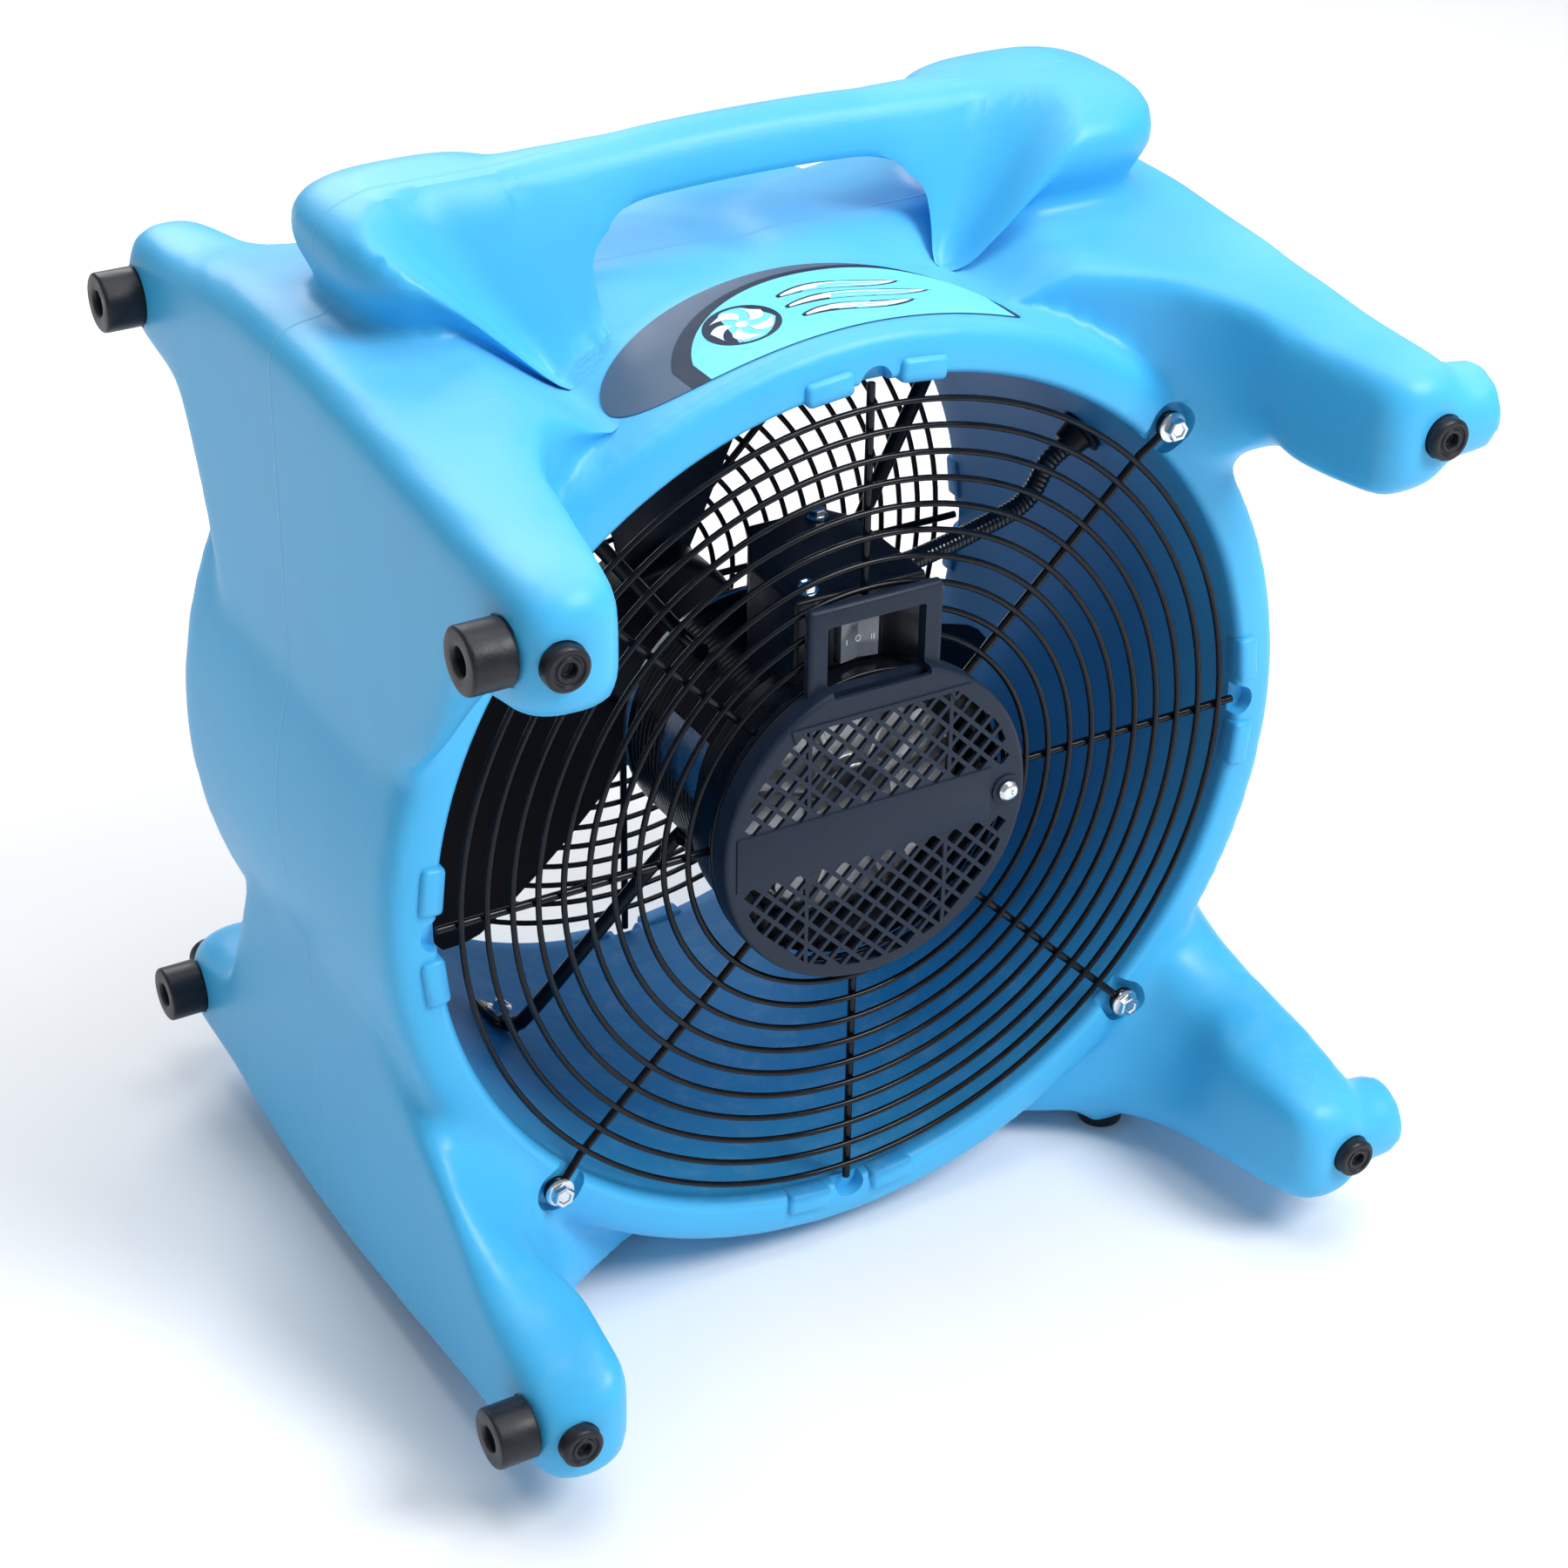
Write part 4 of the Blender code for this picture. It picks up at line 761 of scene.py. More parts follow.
def petal(turn, centre, radius):
    points = []
    for k in range(14):
        t = k / 13
        angle = turn + 0.95 * t - 0.2
        points.append((centre[0] + radius * (0.22 + 0.70 * t) * math.cos(angle),
                       centre[1] + radius * (0.22 + 0.70 * t) * math.sin(angle)))
    for k in range(14):
        t = 1 - k / 13
        angle = turn + 0.25 * t - 0.2 - 0.35 * math.sin(math.pi * t)
        points.append((centre[0] + radius * (0.22 + 0.70 * t) * math.cos(angle),
                       centre[1] + radius * (0.22 + 0.70 * t) * math.sin(angle)))
    return points


def wave(start, stop, y, width, swing, phase):
    upper = []
    lower = []
    for k in range(40):
        t = k / 39
        a = start + (stop - start) * t
        middle = y + swing * math.sin(phase + 5.5 * t)
        half = width / 2 * math.sin(math.pi * min(1.0, t * 1.02 + 0.02)) ** 0.5
        upper.append((a, middle + half))
        lower.append((a, middle - half))
    return upper + lower[::-1]


def label():
    base = 0.0005
    add_piece("label_band", decal_slab(0.0, 1.0, DECAL_R, DECAL_R + 0.0002), LABEL_GREY,
              stands_for=("front_decal",))

    def stripe_top(place):
        return DECAL_FRONT_Y + 0.068 * math.sqrt(max(0.0, 1 - abs((place - 0.60) / 0.46) ** 2.4))

    def field_top(place):
        return DECAL_FRONT_Y + 0.064 * math.sqrt(max(0.0, 1 - abs((place - 0.605) / 0.415) ** 2.4))

    navy = decal_slab(0.16, 0.992, DECAL_R + 0.0002, DECAL_R + 0.0003, high=stripe_top)
    add_piece("label_stripe", navy, LABEL_NAVY)
    field = decal_slab(0.205, 0.975, DECAL_R + 0.0003, DECAL_R + 0.0004, high=field_top)
    add_piece("label_field", field, LABEL_CYAN)
    centre = (-0.030, -0.051)
    disc = [(centre[0] + 0.0185 * math.cos(2 * math.pi * k / 48), centre[1] + 0.0185 * math.sin(2 * math.pi * k / 48))
            for k in range(48)]
    add_piece("label_roundel", label_patch(disc, base - 0.0001), LABEL_NAVY)
    white = [label_patch(petal(2 * math.pi * k / 5 + 0.4, centre, 0.0165), base) for k in range(5)]
    hub = [(centre[0] + 0.0030 * math.cos(2 * math.pi * k / 24), centre[1] + 0.0030 * math.sin(2 * math.pi * k / 24))
           for k in range(24)]
    white.append(label_patch(hub, base))
    dark = []
    for row, (start, stop) in enumerate(((-0.004, 0.062), (-0.006, 0.072), (-0.004, 0.056))):
        y = -0.0385 - 0.0125 * row
        dark.append(label_patch(wave(start, stop, y, 0.0088, 0.0030, 0.3 + 0.2 * row), base - 0.0001))
        white.append(label_patch(wave(start + 0.002, stop - 0.002, y, 0.0052, 0.0030, 0.3 + 0.2 * row), base))
    add_piece("label_waves", joined(dark), LABEL_NAVY)
    add_piece("label_motif", joined(white), LABEL_WHITE)


# ---- bumpers, feet, bolts ----------------------------------------------------------------------------
def bumpers():
    height = HALF_WIDTH - SIDE_SEAT_X - 0.0004
    profile = rounded([(0, 0), (SIDE_BUMPER_R, 0), (SIDE_BUMPER_R, height), (0.0062, height),
                       (0.0058, height - 0.014), (0, height - 0.014)], 0.0020)
    for y, place in ((-BUMPER_Y, "front"), (BUMPER_Y, "rear")):
        for z, level in ((-BUMPER_Z, "lower"), (BUMPER_Z, "upper")):
            mesh = moved(turned(profile, 56), Matrix.Translation((-SIDE_SEAT_X - 0.0004, y, z)) @ TO_LEFT)
            name = f"side_bumper_{place}_{level}"
            add_piece("soft_" + name, mesh, RUBBER, stands_for=(name,))
    height = FACE_BUMPER_Y - FACE_SEAT_Y - 0.0004
    face = rounded([(0, 0), (FACE_BUMPER_R, 0), (FACE_BUMPER_R, height - 0.0012), (0.0092, height), (0.0074, height),
                    (0.0071, height - 0.0010), (0.0058, height - 0.0010), (0.0055, height - 0.0002),
                    (0.0038, height - 0.0002), (0.0034, height - 0.0042), (0, height - 0.0042)], 0.0006, 3)
    for out, place, turn in ((-1, "front", TO_FRONT), (1, "rear", TO_REAR)):
        for x, side in ((-FACE_BUMPER_X, "left"), (FACE_BUMPER_X, "right")):
            for z, level in ((-BUMPER_Z, "lower"), (BUMPER_Z, "upper")):
                at = Matrix.Translation((x, out * (FACE_SEAT_Y + 0.0004), z))
                name = f"{place}_bumper_{side}_{level}"
                add_piece("soft_" + name, moved(turned(face, 48), at @ turn), RUBBER,
                          stands_for=(name,))
    height = AXIS_Z + FOOT_SEAT_Z - 0.0004
    foot = rounded([(0, 0), (FOOT_R, 0), (FOOT_R - 0.001, height), (0.005, height), (0.0046, height - 0.003),
                    (0, height - 0.003)], 0.001)
    for x, side in ((-FOOT_X, "left"), (FOOT_X, "right")):
        for y, place in zip(FOOT_Y, ("front", "rear")):
            at = Matrix.Translation((x, y, FOOT_SEAT_Z - 0.0004)) @ Matrix.Rotation(math.pi, 4, "X")
            name = f"foot_{place}_{side}"
            add_piece("soft_" + name, moved(turned(foot, 40), at), RUBBER, stands_for=(name,))


def hexagon(radius, height):
    return [(radius * math.cos(math.pi * k / 3), radius * math.sin(math.pi * k / 3), height) for k in range(6)]


def bolt_mesh(shank_r, shank, flange_r, flange_h, flats, head_h):
    """A flange bolt: a round flange with a sloped top, and a chamfered hexagon head with a dished top."""
    flange = [(0, -shank), (shank_r, -shank), (shank_r, 0), (flange_r, 0), (flange_r, flange_h * 0.5),
              (flange_r - 0.0006, flange_h * 0.75), (flats * 0.5, flange_h), (0, flange_h)]
    corner = flats / math.sqrt(3)
    top = flange_h + head_h
    head = loft([hexagon(corner, flange_h * 0.6), hexagon(corner, top - 0.0007), hexagon(corner * 0.93, top - 0.0002),
                 hexagon(corner * 0.86, top), hexagon(corner * 0.62, top - 0.0001),
                 hexagon(corner * 0.50, top - 0.0008)])
    return joined([turned(flange, 32), head])


def bolts():
    for (face, out), place, turn in zip(((FRONT_Y, -1), (REAR_Y, 1)), ("front", "rear"), (TO_FRONT, TO_REAR)):
        seat = face + out * 0.0008
        for angle, corner in zip(DIAGONALS, ("upper_right", "upper_left", "lower_left", "lower_right")):
            mesh = bolt_mesh(0.003, 0.017, 0.0076, 0.0018, 0.010, 0.0044)
            at = Matrix.Translation(polar(GUARD_BOLT_R, angle, seat)) @ turn @ Matrix.Rotation(angle * 1.7, 4, "Z")
            name = f"{place}_guard_bolt_{corner}"
            add_piece("flange_" + name, moved(mesh, at), ZINC, stands_for=(name,), angle=25.0)
    wall = bore_radius(STRUT_BOLT_Y)
    for angle, corner in zip(STRUT_ANGLES, ("upper_right", "upper_left", "lower_left", "lower_right")):
        mesh = bolt_mesh(0.003, 0.013, 0.0075, 0.0018, 0.010, 0.0044)
        at = Matrix.Translation(polar(wall - 0.0056, angle, STRUT_BOLT_Y)) @ toward(-polar(1, angle))
        add_piece(f"flange_strut_bolt_{corner}", moved(mesh, at), ZINC,
                  stands_for=(f"strut_bolt_{corner}",), angle=25.0)


# ---- guards ------------------------------------------------------------------------------------------
def ring_runs(radius, y, window):
    """A ring's points in runs, left open where the switch frame's window is."""
    count = 144
    points = [polar(radius, 360 * k / count + 90, y) for k in range(count)]
    keep = [not (window and abs(p.x) < WINDOW_X + 0.003 and WINDOW_Z[0] - 0.007 < p.z < WINDOW_Z[1] + 0.003)
            for p in points]
    if all(keep):
        return [(points, True)]
    start = keep.index(True)
    return [([points[(start + k) % count] for k in range(count) if keep[(start + k) % count]], False)]


def guard(name, stands_for, y, outer_r, out, window):
    parts = []
    radii = [outer_r + (GUARD_INNER_R - outer_r) * k / (GUARD_RINGS - 1) for k in range(GUARD_RINGS)]
    if not window:
        step = (GUARD_CORE_R - GUARD_INNER_R) / GUARD_CORE_RINGS
        radii += [GUARD_INNER_R + step * (k + 1) for k in range(GUARD_CORE_RINGS)]
    for radius in radii:
        for points, closed in ring_runs(radius, y + out * 0.0006, window):
            parts.append(rod(points, GUARD_WIRE_R, 8, closed))
    inner = radii[-1] - 0.002
    behind = y - out * 0.0026
    for angle in DIAGONALS:
        reach = GUARD_BOLT_R - 0.0058
        points = [polar(inner, angle, behind), polar(reach - 0.014, angle, behind),
                  polar(reach - 0.006, angle, y - out * 0.0008), polar(reach, angle, y)]
        parts.append(rod(points, SPOKE_R, 8))
        centre = polar(GUARD_BOLT_R, angle, y)
        loop = [centre + polar(0.0058, 15 * k + angle) for k in range(24)]
        parts.append(rod(loop, 0.0017, 8, True))
    for angle in CARDINALS:
        start = WINDOW_Z[1] + 0.006 if window and angle == 90 else inner
        parts.append(rod([polar(start, angle, behind), polar(outer_r + 0.011, angle, behind)], SPOKE_R, 8))
    add_piece(name, joined(parts), WIRE, stands_for=(stands_for,), angle=60.0)


# ---- motor, struts, fan ------------------------------------------------------------------------------
def motor():
    body = [(MOTOR_R - 0.0048, -0.070), (MOTOR_R, -0.070)]
    for k in range(22):
        y = -0.064 + 0.078 * k / 21
        body += [(MOTOR_R, y - 0.0008), (MOTOR_R - 0.0009, y), (MOTOR_R, y + 0.0008)]
    body += [(MOTOR_R, 0.020), (MOTOR_R - 0.0048, 0.020)]
    add_piece("motor_can", moved(turned(body, 96, True), TO_REAR), PAINT,
              stands_for=("motor_body",))
    inner = MOTOR_R - 0.0048
    front = rounded([(0, -0.088), (0.022, -0.088), (0.024, -0.081), (0.060, -0.081), (MOTOR_R - 0.0002, -0.076),
                     (MOTOR_R - 0.0002, -0.0704), (inner, -0.0704), (inner, -0.0775), (0.0205, -0.0775),
                     (0.0205, -0.072), (0.0160, -0.072), (0.0160, -0.0845), (0, -0.0845)], 0.0018)
    bell = add_piece("front_bell", moved(turned(front, 96), TO_REAR), ALUMINIUM,
                     stands_for=("motor_front_endbell",))
    ribs = []
    for k in range(8):
        rib = round_block((0.021, -0.0868, -0.0016), (0.060, -0.0800, 0.0016), 0.0007, 2)
        ribs.append(moved(rib, Matrix.Rotation(math.radians(45 * k + 22.5), 4, "Y")))
    for k in range(4):
        ribs.append(moved(turned(rounded([(0, -0.079), (0.0055, -0.079), (0.0055, -0.0865), (0, -0.0865)], 0.0008),
                                 24),
                          Matrix.Rotation(math.radians(90 * k + 45), 4, "Y") @ Matrix.Translation((0.053, 0, 0))
                          @ TO_REAR))
    helper = temp_object(joined(ribs))
    boolean(bell, helper, "UNION", True)
    bake(bell, [helper])
    rear = rounded([(0.0085, 0.034), (0.022, 0.034), (0.026, 0.029), (0.060, 0.029), (MOTOR_R - 0.0002, 0.025),
                    (MOTOR_R - 0.0002, 0.0204), (inner, 0.0204), (inner, 0.0255), (0.0205, 0.0255), (0.0205, 0.0215),
                    (0.0160, 0.0215), (0.0160, 0.0305), (0.0085, 0.0305)], 0.0015)
    add_piece("rear_bell", moved(turned(rear, 96, True), TO_REAR), ALUMINIUM,
              stands_for=("motor_rear_endbell",))
    ring = rounded([(MOTOR_R + 0.0004, -0.066), (0.0785, -0.066), (0.0785, COVER_BACK_Y + 0.0004),
                    (MOTOR_R + 0.0004, COVER_BACK_Y + 0.0004)], 0.0012)
    add_piece("cover_collar", moved(turned(ring, 96, True), TO_REAR), PAINT,
              stands_for=("cover_ring",))
    plate = []
    for k in range(13):
        angle = 152 + 26 * k / 12
        plate.append([polar(MOTOR_R + 0.0001, angle, -0.052), polar(MOTOR_R + 0.0004, angle, -0.052),
                      polar(MOTOR_R + 0.0004, angle, -0.014), polar(MOTOR_R + 0.0001, angle, -0.014)])
    add_piece("rating_plate", loft(plate), STEEL)


def struts():
    wall = bore_radius(STRUT_BOLT_Y)
    for angle, corner in zip(STRUT_ANGLES, ("upper_right", "upper_left", "lower_left", "lower_right")):
        at_motor = MOTOR_R + STRUT_R + 0.0012
        route = smooth_route([polar(at_motor, angle, -0.012), polar(at_motor, angle, 0.006),
                              polar(at_motor + 0.010, angle, 0.0135),
                              polar(wall - STRUT_R - 0.022, angle, STRUT_BOLT_Y - 0.0240),
                              polar(wall - STRUT_R - 0.0045, angle, STRUT_BOLT_Y - 0.0165),
                              polar(wall - 0.0044, angle, STRUT_BOLT_Y - 0.0085)], 8)
        strut = add_piece(f"bent_strut_{corner}", rod(route, STRUT_R, 16), PAINT,
                          stands_for=(f"strut_{corner}",), angle=40.0)
        plate = round_block((wall - 0.0052, STRUT_BOLT_Y - 0.013, -0.009),
                            (wall - 0.0014, STRUT_BOLT_Y + 0.012, 0.009), 0.0015)
        helper = temp_object(moved(plate, Matrix.Rotation(-math.radians(angle), 4, "Y")))
        hole = temp_object(pin_cut(polar(wall - 0.003, angle, STRUT_BOLT_Y), polar(1, angle), 0.0034, 0.012, 0.02))
        boolean(strut, helper, "UNION")
        boolean(strut, hole)
        bake(strut, [helper, hole], 40.0)


def blade(turn_degrees):
    rings = []
    for k in range(19):
        share = k / 18
        radius = HUB_R - 0.003 + (FAN_R - HUB_R + 0.002) * share
        chord = 0.080 + 0.106 * share ** 0.8
        chord *= 1 - 0.10 * max(0.0, (share - 0.86) / 0.14) ** 2
        pitch = -math.radians(36 - 21 * share)
        outline = []
        steps = [-1 + 2 * j / 12 for j in range(13)]
        for sign, order in ((1, steps), (-1, steps[::-1])):
            for t in order:
                half = 0.0013 * (1 - 0.62 * abs(t) ** 3)
                outline.append((t * chord / 2, 0.006 * (1 - t * t) + sign * half))
        ring = []
        for reach, lift in outline:
            tangential = reach * math.cos(pitch) - lift * math.sin(pitch)
            axial = reach * math.sin(pitch) + lift * math.cos(pitch)
            angle = math.radians(turn_degrees) + tangential / radius
            ring.append((radius * math.cos(angle), FAN_Y + axial, radius * math.sin(angle)))
        rings.append(ring)
    return loft(rings)


def fan():
    hole = 0.0064
    hub = rounded([(hole, 0.097), (0.016, 0.097), (0.042, 0.101), (HUB_R, 0.106), (HUB_R, 0.134),
                   (HUB_R - 0.003, 0.134), (HUB_R - 0.003, 0.112), (0.016, 0.112), (0.016, 0.136), (hole, 0.136)],
                  0.0025)
    wheel = add_piece("fan_wheel", moved(turned(hub, 72, True), TO_REAR), FAN_BLACK, "rotor", ("fan",),
                      35.0)
    helper = temp_object(joined([blade(360 * k / BLADES + BLADE_START) for k in range(BLADES)]))
    boolean(wheel, helper, "UNION")
    bake(wheel, [helper], 35.0)


# ---- terminal box, switch, conduit -------------------------------------------------------------------
TERMINAL_OUTLINE = ((-0.033, -0.084), (0.040, -0.084), (0.040, -0.018), (0.030, -0.002), (-0.012, -0.002),
                    (-0.033, -0.040))
TERMINAL_TOP = 0.117
SWITCH_Z = 0.092
CONDUIT_END = (0.040, -0.030, 0.090)
CONDUIT_MIDDLE = ((0.146, -0.010, 0.096), (0.112, -0.016, 0.090), (0.072, -0.026, 0.089))


def terminal_prism(inset, low, high, bevel=0.0):
    middle = sum((Vector(p) for p in TERMINAL_OUTLINE), Vector((0, 0))) / len(TERMINAL_OUTLINE)
    drawn = [Vector(p) - Vector((math.copysign(inset, p[0] - middle.x), math.copysign(inset, p[1] - middle.y)))
             for p in TERMINAL_OUTLINE]
    bm = loft([[(p.x, p.y, z) for p in drawn] for z in (low, high)])
    if bevel:
        bmesh.ops.bevel(bm, geom=bm.edges, offset=bevel, segments=3, affect="EDGES", profile=0.5)
    return bm


def terminal_box():
    box = add_piece("wiring_box", terminal_prism(0.0, 0.030, TERMINAL_TOP, 0.0022), BLACK,
                    stands_for=("terminal_box",))
    inside = temp_object(terminal_prism(0.0025, 0.010, TERMINAL_TOP - 0.0025))
    seat = temp_object(moved(turned([(0, -0.2), (MOTOR_R + 0.0008, -0.2), (MOTOR_R + 0.0008, 0.2), (0, 0.2)], 72),
                             TO_REAR))
    ring = temp_object(moved(turned([(0, -0.12), (0.0793, -0.12), (0.0793, -0.0656), (0, -0.0656)], 72), TO_REAR))
    cuts = [block((-0.0144, -0.094, SWITCH_Z - 0.0124), (0.0144, -0.074, SWITCH_Z + 0.0124))]
    for x, y in ((-0.022, -0.076), (0.022, -0.011)):
        cuts.append(pin_cut((x, y, TERMINAL_TOP), (0, 0, 1), 0.0024, 0.008, 0.004))
    cuts.append(pin_cut(CONDUIT_END, (1, 0, 0), 0.0050, 0.006, 0.004))
    holes = temp_object(joined(cuts))
    for helper in (inside, seat, ring, holes):
        boolean(box, helper)
    bake(box, [inside, seat, ring, holes])
    for (x, y), place in zip(((-0.022, -0.076), (0.022, -0.011)), ("front", "rear")):
        mesh = bolt_mesh(0.002, 0.006, 0.0058, 0.0014, 0.0078, 0.0033)
        add_piece(f"flange_terminal_screw_{place}", moved(mesh, Matrix.Translation((x, y, TERMINAL_TOP + 0.0004))),
                  ZINC, stands_for=(f"terminal_screw_{place}",), angle=25.0)


def switch():
    front = -0.084
    body = add_piece("switch_case", round_block((-0.0140, front - 0.002, SWITCH_Z - 0.0120),
                                                (0.0140, front + 0.024, SWITCH_Z + 0.0120), 0.0004, 2),
                     BLACK, stands_for=("switch_body",))
    bezel = temp_object(round_block((-0.0150, front - 0.0022, SWITCH_Z - 0.0130),
                                    (0.0150, front - 0.0004, SWITCH_Z + 0.0130), 0.0007, 3))
    well = temp_object(block((-0.0123, front - 0.02, SWITCH_Z - 0.0109), (0.0123, front + 0.018, SWITCH_Z + 0.0109)))
    boolean(body, bezel, "UNION")
    boolean(body, well)
    bake(body, [bezel, well])
    pivot_y = -0.0790
    front_y = -0.0895
    outline = []
    for k in range(13):
        t = -1 + k / 6
        outline.append((0.0104 * t, front_y + 0.0020 * (1 - abs(t)) ** 1.3))
    outline += [(0.0104, pivot_y + 0.004), (0, pivot_y + 0.008), (-0.0104, pivot_y + 0.004)]
    bm = loft([[(x, y, z) for x, y in outline] for z in (SWITCH_Z - 0.0104, SWITCH_Z + 0.0104)])
    bmesh.ops.bevel(bm, geom=[e for e in bm.edges if e.calc_face_angle(0) > 1.0], offset=0.0005, segments=3,
                    affect="EDGES", profile=0.5)
    add_piece("rocker_key", bm, ROCKER, "rocker", ("switch_rocker",), 25.0)
    marks = []

    def bar(x, half_x, low, high, lift=0.0):
        y = front_y + 0.0020 * (1 - abs(x) / 0.0104) ** 1.3 - 0.0003
        return round_block((x - half_x, y - 0.0002, SWITCH_Z + low), (x + half_x, y + 0.0006 + lift, SWITCH_Z + high),
                           0.00008, 1)

    marks.append(bar(-0.0072, 0.0003, -0.0014, 0.0014))
    marks.append(bar(0.0066, 0.0003, -0.0014, 0.0014))
    marks.append(bar(0.0078, 0.0003, -0.0014, 0.0014))
    loop = [Vector((0.0013 * math.cos(2 * math.pi * k / 24), front_y + 0.0017,
                    SWITCH_Z + 0.0016 * math.sin(2 * math.pi * k / 24)))
            for k in range(24)]
    marks.append(rod(loop, 0.00032, 6, True))
    add_piece("rocker_marks", joined(marks), MARKS, "rocker")


def conduit():
    wall = bore_radius(GLAND_Y)
    profile = rounded([(0, -0.0085), (0.0114, -0.0085), (0.0114, 0.0014), (0.0128, 0.0014), (0.0128, 0.0030),
                       (0.0090, 0.0040), (0.0078, 0.013), (0, 0.013)], 0.0008)
    at = Matrix.Translation(polar(wall, GLAND_ANGLE, GLAND_Y)) @ toward(-polar(1, GLAND_ANGLE))
    add_piece("wall_gland", moved(turned(profile, 40), at), BLACK,
              stands_for=("conduit_gland",))
    start = polar(wall - 0.0134, GLAND_ANGLE, GLAND_Y)
    end = Vector(CONDUIT_END)
    coarse = smooth_route([start, start - polar(0.012, GLAND_ANGLE), *CONDUIT_MIDDLE, end + Vector((0.012, 0, 0)),
                           end + Vector((0.0012, 0, 0))], 10)
    lengths = [0.0]
    for a, b in zip(coarse, coarse[1:]):
        lengths.append(lengths[-1] + (b - a).length)
    step = 0.00065
    count = int(lengths[-1] / step)
    points = []
    radii = []
    at_piece = 0
    for k in range(count + 1):
        place = lengths[-1] * k / count
        while at_piece < len(lengths) - 2 and lengths[at_piece + 1] < place:
            at_piece += 1
        span = lengths[at_piece + 1] - lengths[at_piece]
        points.append(coarse[at_piece].lerp(coarse[at_piece + 1], (place - lengths[at_piece]) / span))
        radii.append(0.0052 + 0.0003 * math.sin(2 * math.pi * place / 0.0028))
    add_piece("corrugated_conduit", rod(points, radii, 16), CONDUIT, stands_for=("conduit",),
              angle=60.0)


# ---- vent cover --------------------------------------------------------------------------------------
def vent_cover():
    plate = 0.0022
    back = COVER_BACK_Y - 0.0004
    profile = rounded([(0, COVER_FRONT_Y), (COVER_R, COVER_FRONT_Y), (COVER_R, back), (COVER_R - 0.0025, back),
                       (COVER_R - 0.0025, COVER_FRONT_Y + plate), (0, COVER_FRONT_Y + plate)], 0.003, 5)
    cover = add_piece("vent_grille", moved(turned(profile, 120), TO_REAR), CHARCOAL,
                      stands_for=("vent_cover",))
    rim = temp_object(round_block((-FRAME_X, FRAME_FRONT_Y, FRAME_Z[0] - 0.004), (FRAME_X, back, FRAME_Z[1]), 0.0024))
    panel = temp_object(loft([[(-0.046, y, 0.052), (-0.038, y, 0.064), (0.038, y, 0.064), (0.046, y, 0.052),
                               (0.050, y, 0.0665), (-0.050, y, 0.0665)]
                              for y in (COVER_FRONT_Y - 0.0008, COVER_FRONT_Y + 0.002)]))
    lug = temp_object(pin_cut((COVER_SCREW_X, back, 0), (0, -1, 0), 0.008, 0, 0.0145, 36))
    bar = temp_object(round_block((-0.0790, COVER_FRONT_Y - 0.0009, -COVER_BAR_Z), (0.0640, COVER_FRONT_Y + 0.002,
                                                                                      COVER_BAR_Z), 0.0006, 2))
    window = temp_object(joined([
        round_block((-WINDOW_X, -0.2, WINDOW_Z[0]), (WINDOW_X, 0, WINDOW_Z[1]), 0.0015, 3),
        pin_cut((COVER_SCREW_X, COVER_BACK_Y, 0), (0, -1, 0), 0.0024, 0.004, 0.03)]))
    pitch = 0.0090
    half = 0.0068 / 2
    quarter = Matrix.Rotation(math.pi / 4, 4, "Y")
    cells = []
    for i in range(-12, 13):
        for j in range(-12, 13):
            centre = quarter @ Vector((i * pitch, 0, j * pitch))
            if centre.length > 0.080 or (centre - Vector((COVER_SCREW_X, 0, 0))).length < 0.0105:
                continue
            if abs(centre.z) < COVER_BAR_Z - 0.002:
                continue
            cell = block((-half, COVER_FRONT_Y - 0.002, -half), (half, COVER_FRONT_Y + 0.004, half))
            cells.append(moved(cell, Matrix.Translation(centre) @ quarter))
    holes = temp_object(joined(cells))
    disc = turned([(0, COVER_FRONT_Y - 0.01), (0.0775, COVER_FRONT_Y - 0.01), (0.0775, COVER_FRONT_Y + 0.01),
                   (0, COVER_FRONT_Y + 0.01)], 96)
    region = temp_object(moved(disc, TO_REAR))
    solid = [block((-0.1, -0.2, -COVER_BAR_Z), (0.1, 0, COVER_BAR_Z)), block((-0.1, -0.2, 0.0640), (0.1, 0, 0.1))]
    for x in (-0.0395, 0.0395):
        solid.append(block((x - 0.0011, -0.199, -0.0839), (x + 0.0011, -0.001, -COVER_BAR_Z - 0.0001)))
        solid.append(block((x - 0.0011, -0.199, COVER_BAR_Z + 0.0001), (x + 0.0011, -0.001, 0.0639)))
    kept = temp_object(joined(solid))
    boolean(holes, region, "INTERSECT")
    boolean(holes, kept)
    bake(holes, [region, kept])
    boolean(cover, rim, "UNION")
    boolean(cover, panel, "UNION")
    boolean(cover, lug, "UNION")
    boolean(cover, bar, "UNION")
    boolean(cover, holes)
    boolean(cover, window)
    bake(cover, [rim, panel, lug, bar, window, holes], 30.0)
    screw = rounded([(0, -0.010), (0.002, -0.010), (0.002, 0), (0.0055, 0), (0.0055, 0.0014), (0.0040, 0.0032),
                     (0.0016, 0.0038), (0.0012, 0.0026), (0, 0.0026)], 0.0004, 3)
    at = Matrix.Translation((COVER_SCREW_X, COVER_BACK_Y - 0.0153, 0)) @ TO_FRONT
    add_piece("pan_cover_screw", moved(turned(screw, 40), at), ZINC, stands_for=("cover_screw",))


def cad_materials():
    """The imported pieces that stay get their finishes."""
    for names, mat in ((("motor_stator",), COPPER),
                       (("motor_shaft", "rotor_core", "front_bearing", "rear_bearing"), STEEL),
                       (("motor_capacitor",), ALUMINIUM), (("fan_nut",), ZINC)):
        for name in names:
            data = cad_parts[name].data
            data.materials.clear()
            data.materials.append(mat)


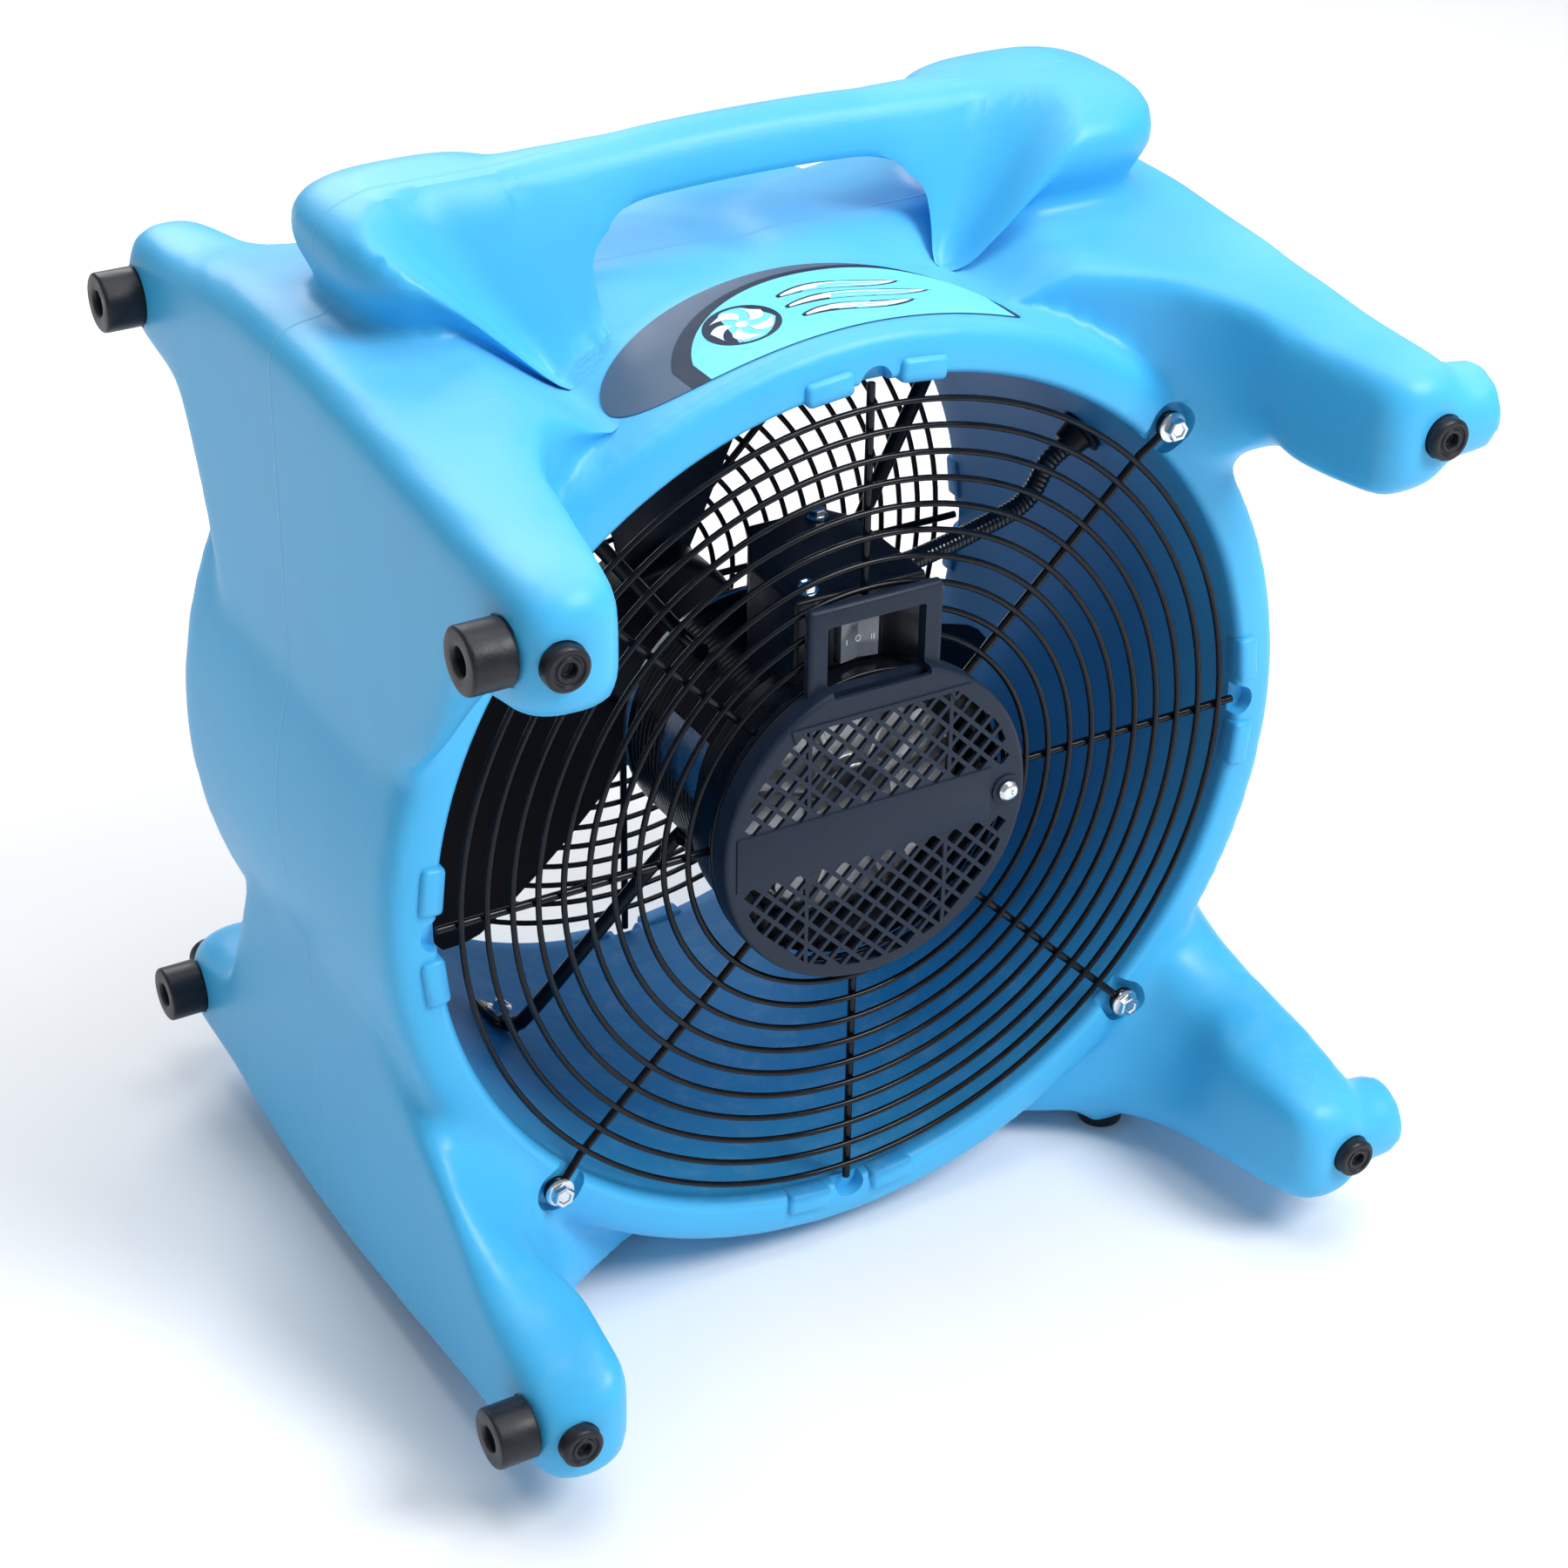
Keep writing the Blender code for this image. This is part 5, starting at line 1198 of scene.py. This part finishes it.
# ---- stage -------------------------------------------------------------------------------------------
def stage():
    bm = bmesh.new()
    bmesh.ops.create_grid(bm, x_segments=1, y_segments=1, size=12)
    mesh = bpy.data.meshes.new("floor")
    bm.to_mesh(mesh)
    bm.free()
    floor = bpy.data.objects.new("floor", mesh)
    bpy.context.scene.collection.objects.link(floor)
    mat, tree, shader = new_material("studio_floor")
    tree.links.new(ramp(tree, noise(tree, 3.0), 0.3, 0.7, 0.55, 0.65), shader.inputs["Roughness"])
    shader.inputs["Base Color"].default_value = (0.90, 0.91, 0.93, 1)
    mesh.materials.append(mat)
    world = bpy.data.worlds.new("studio")
    bpy.context.scene.world = world
    world.use_nodes = True
    bpy.context.scene.view_settings.view_transform = "Standard"
    background = world.node_tree.nodes["Background"]
    background.inputs["Color"].default_value = (1.0, 1.0, 1.0, 1)
    background.inputs["Strength"].default_value = 0.36
    for name, place, size, power, color in (
            ("key", (1.3, -2.0, 2.6), 1.5, 84, (1.0, 1.0, 1.0)),
            ("top", (0.3, -0.2, 3.2), 2.4, 44, (1.0, 1.0, 1.0)),
            ("back", (0.2, 2.4, 2.0), 1.8, 42, (1.0, 1.0, 1.0))):
        data = bpy.data.lights.new(name, "AREA")
        data.shape = "DISK"
        data.size = size
        data.energy = power
        data.color = color
        lamp = bpy.data.objects.new(name, data)
        bpy.context.scene.collection.objects.link(lamp)
        lamp.location = place
        lamp.rotation_euler = (Vector((0, 0, 0.28)) - Vector(place)).to_track_quat("-Z", "Y").to_euler()


def camera():
    azimuth = math.radians(-30.65)
    elevation = math.radians(31.12)
    roll = math.radians(1.07)
    forward = Vector((-math.sin(azimuth) * math.cos(elevation), math.cos(azimuth) * math.cos(elevation),
                      -math.sin(elevation)))
    right = Vector((math.cos(azimuth), math.sin(azimuth), 0))
    up = right.cross(forward)
    across = right * math.cos(roll) + up * math.sin(roll)
    upright = up * math.cos(roll) - right * math.sin(roll)
    data = bpy.data.cameras.new("camera")
    data.lens = 76.8
    data.sensor_width = 36
    data.clip_start = 0.05
    data.clip_end = 60
    cam = bpy.data.objects.new("camera", data)
    bpy.context.scene.collection.objects.link(cam)
    turn = Matrix((across, upright, -forward)).transposed().to_4x4()
    cam.matrix_world = Matrix.Translation((-0.7413, -1.2724, 0.8536 + AXIS_Z)) @ turn
    bpy.context.scene.camera = cam


camera()
stage()
housing()
label()
bumpers()
bolts()
guard("front_wire_guard", "front_guard", FRONT_Y + 0.0020, GUARD_R, -1, True)
guard("rear_wire_guard", "rear_guard", REAR_Y - 0.0020, GUARD_REAR_R, 1, False)
motor()
struts()
fan()
terminal_box()
switch()
conduit()
vent_cover()
cad_materials()
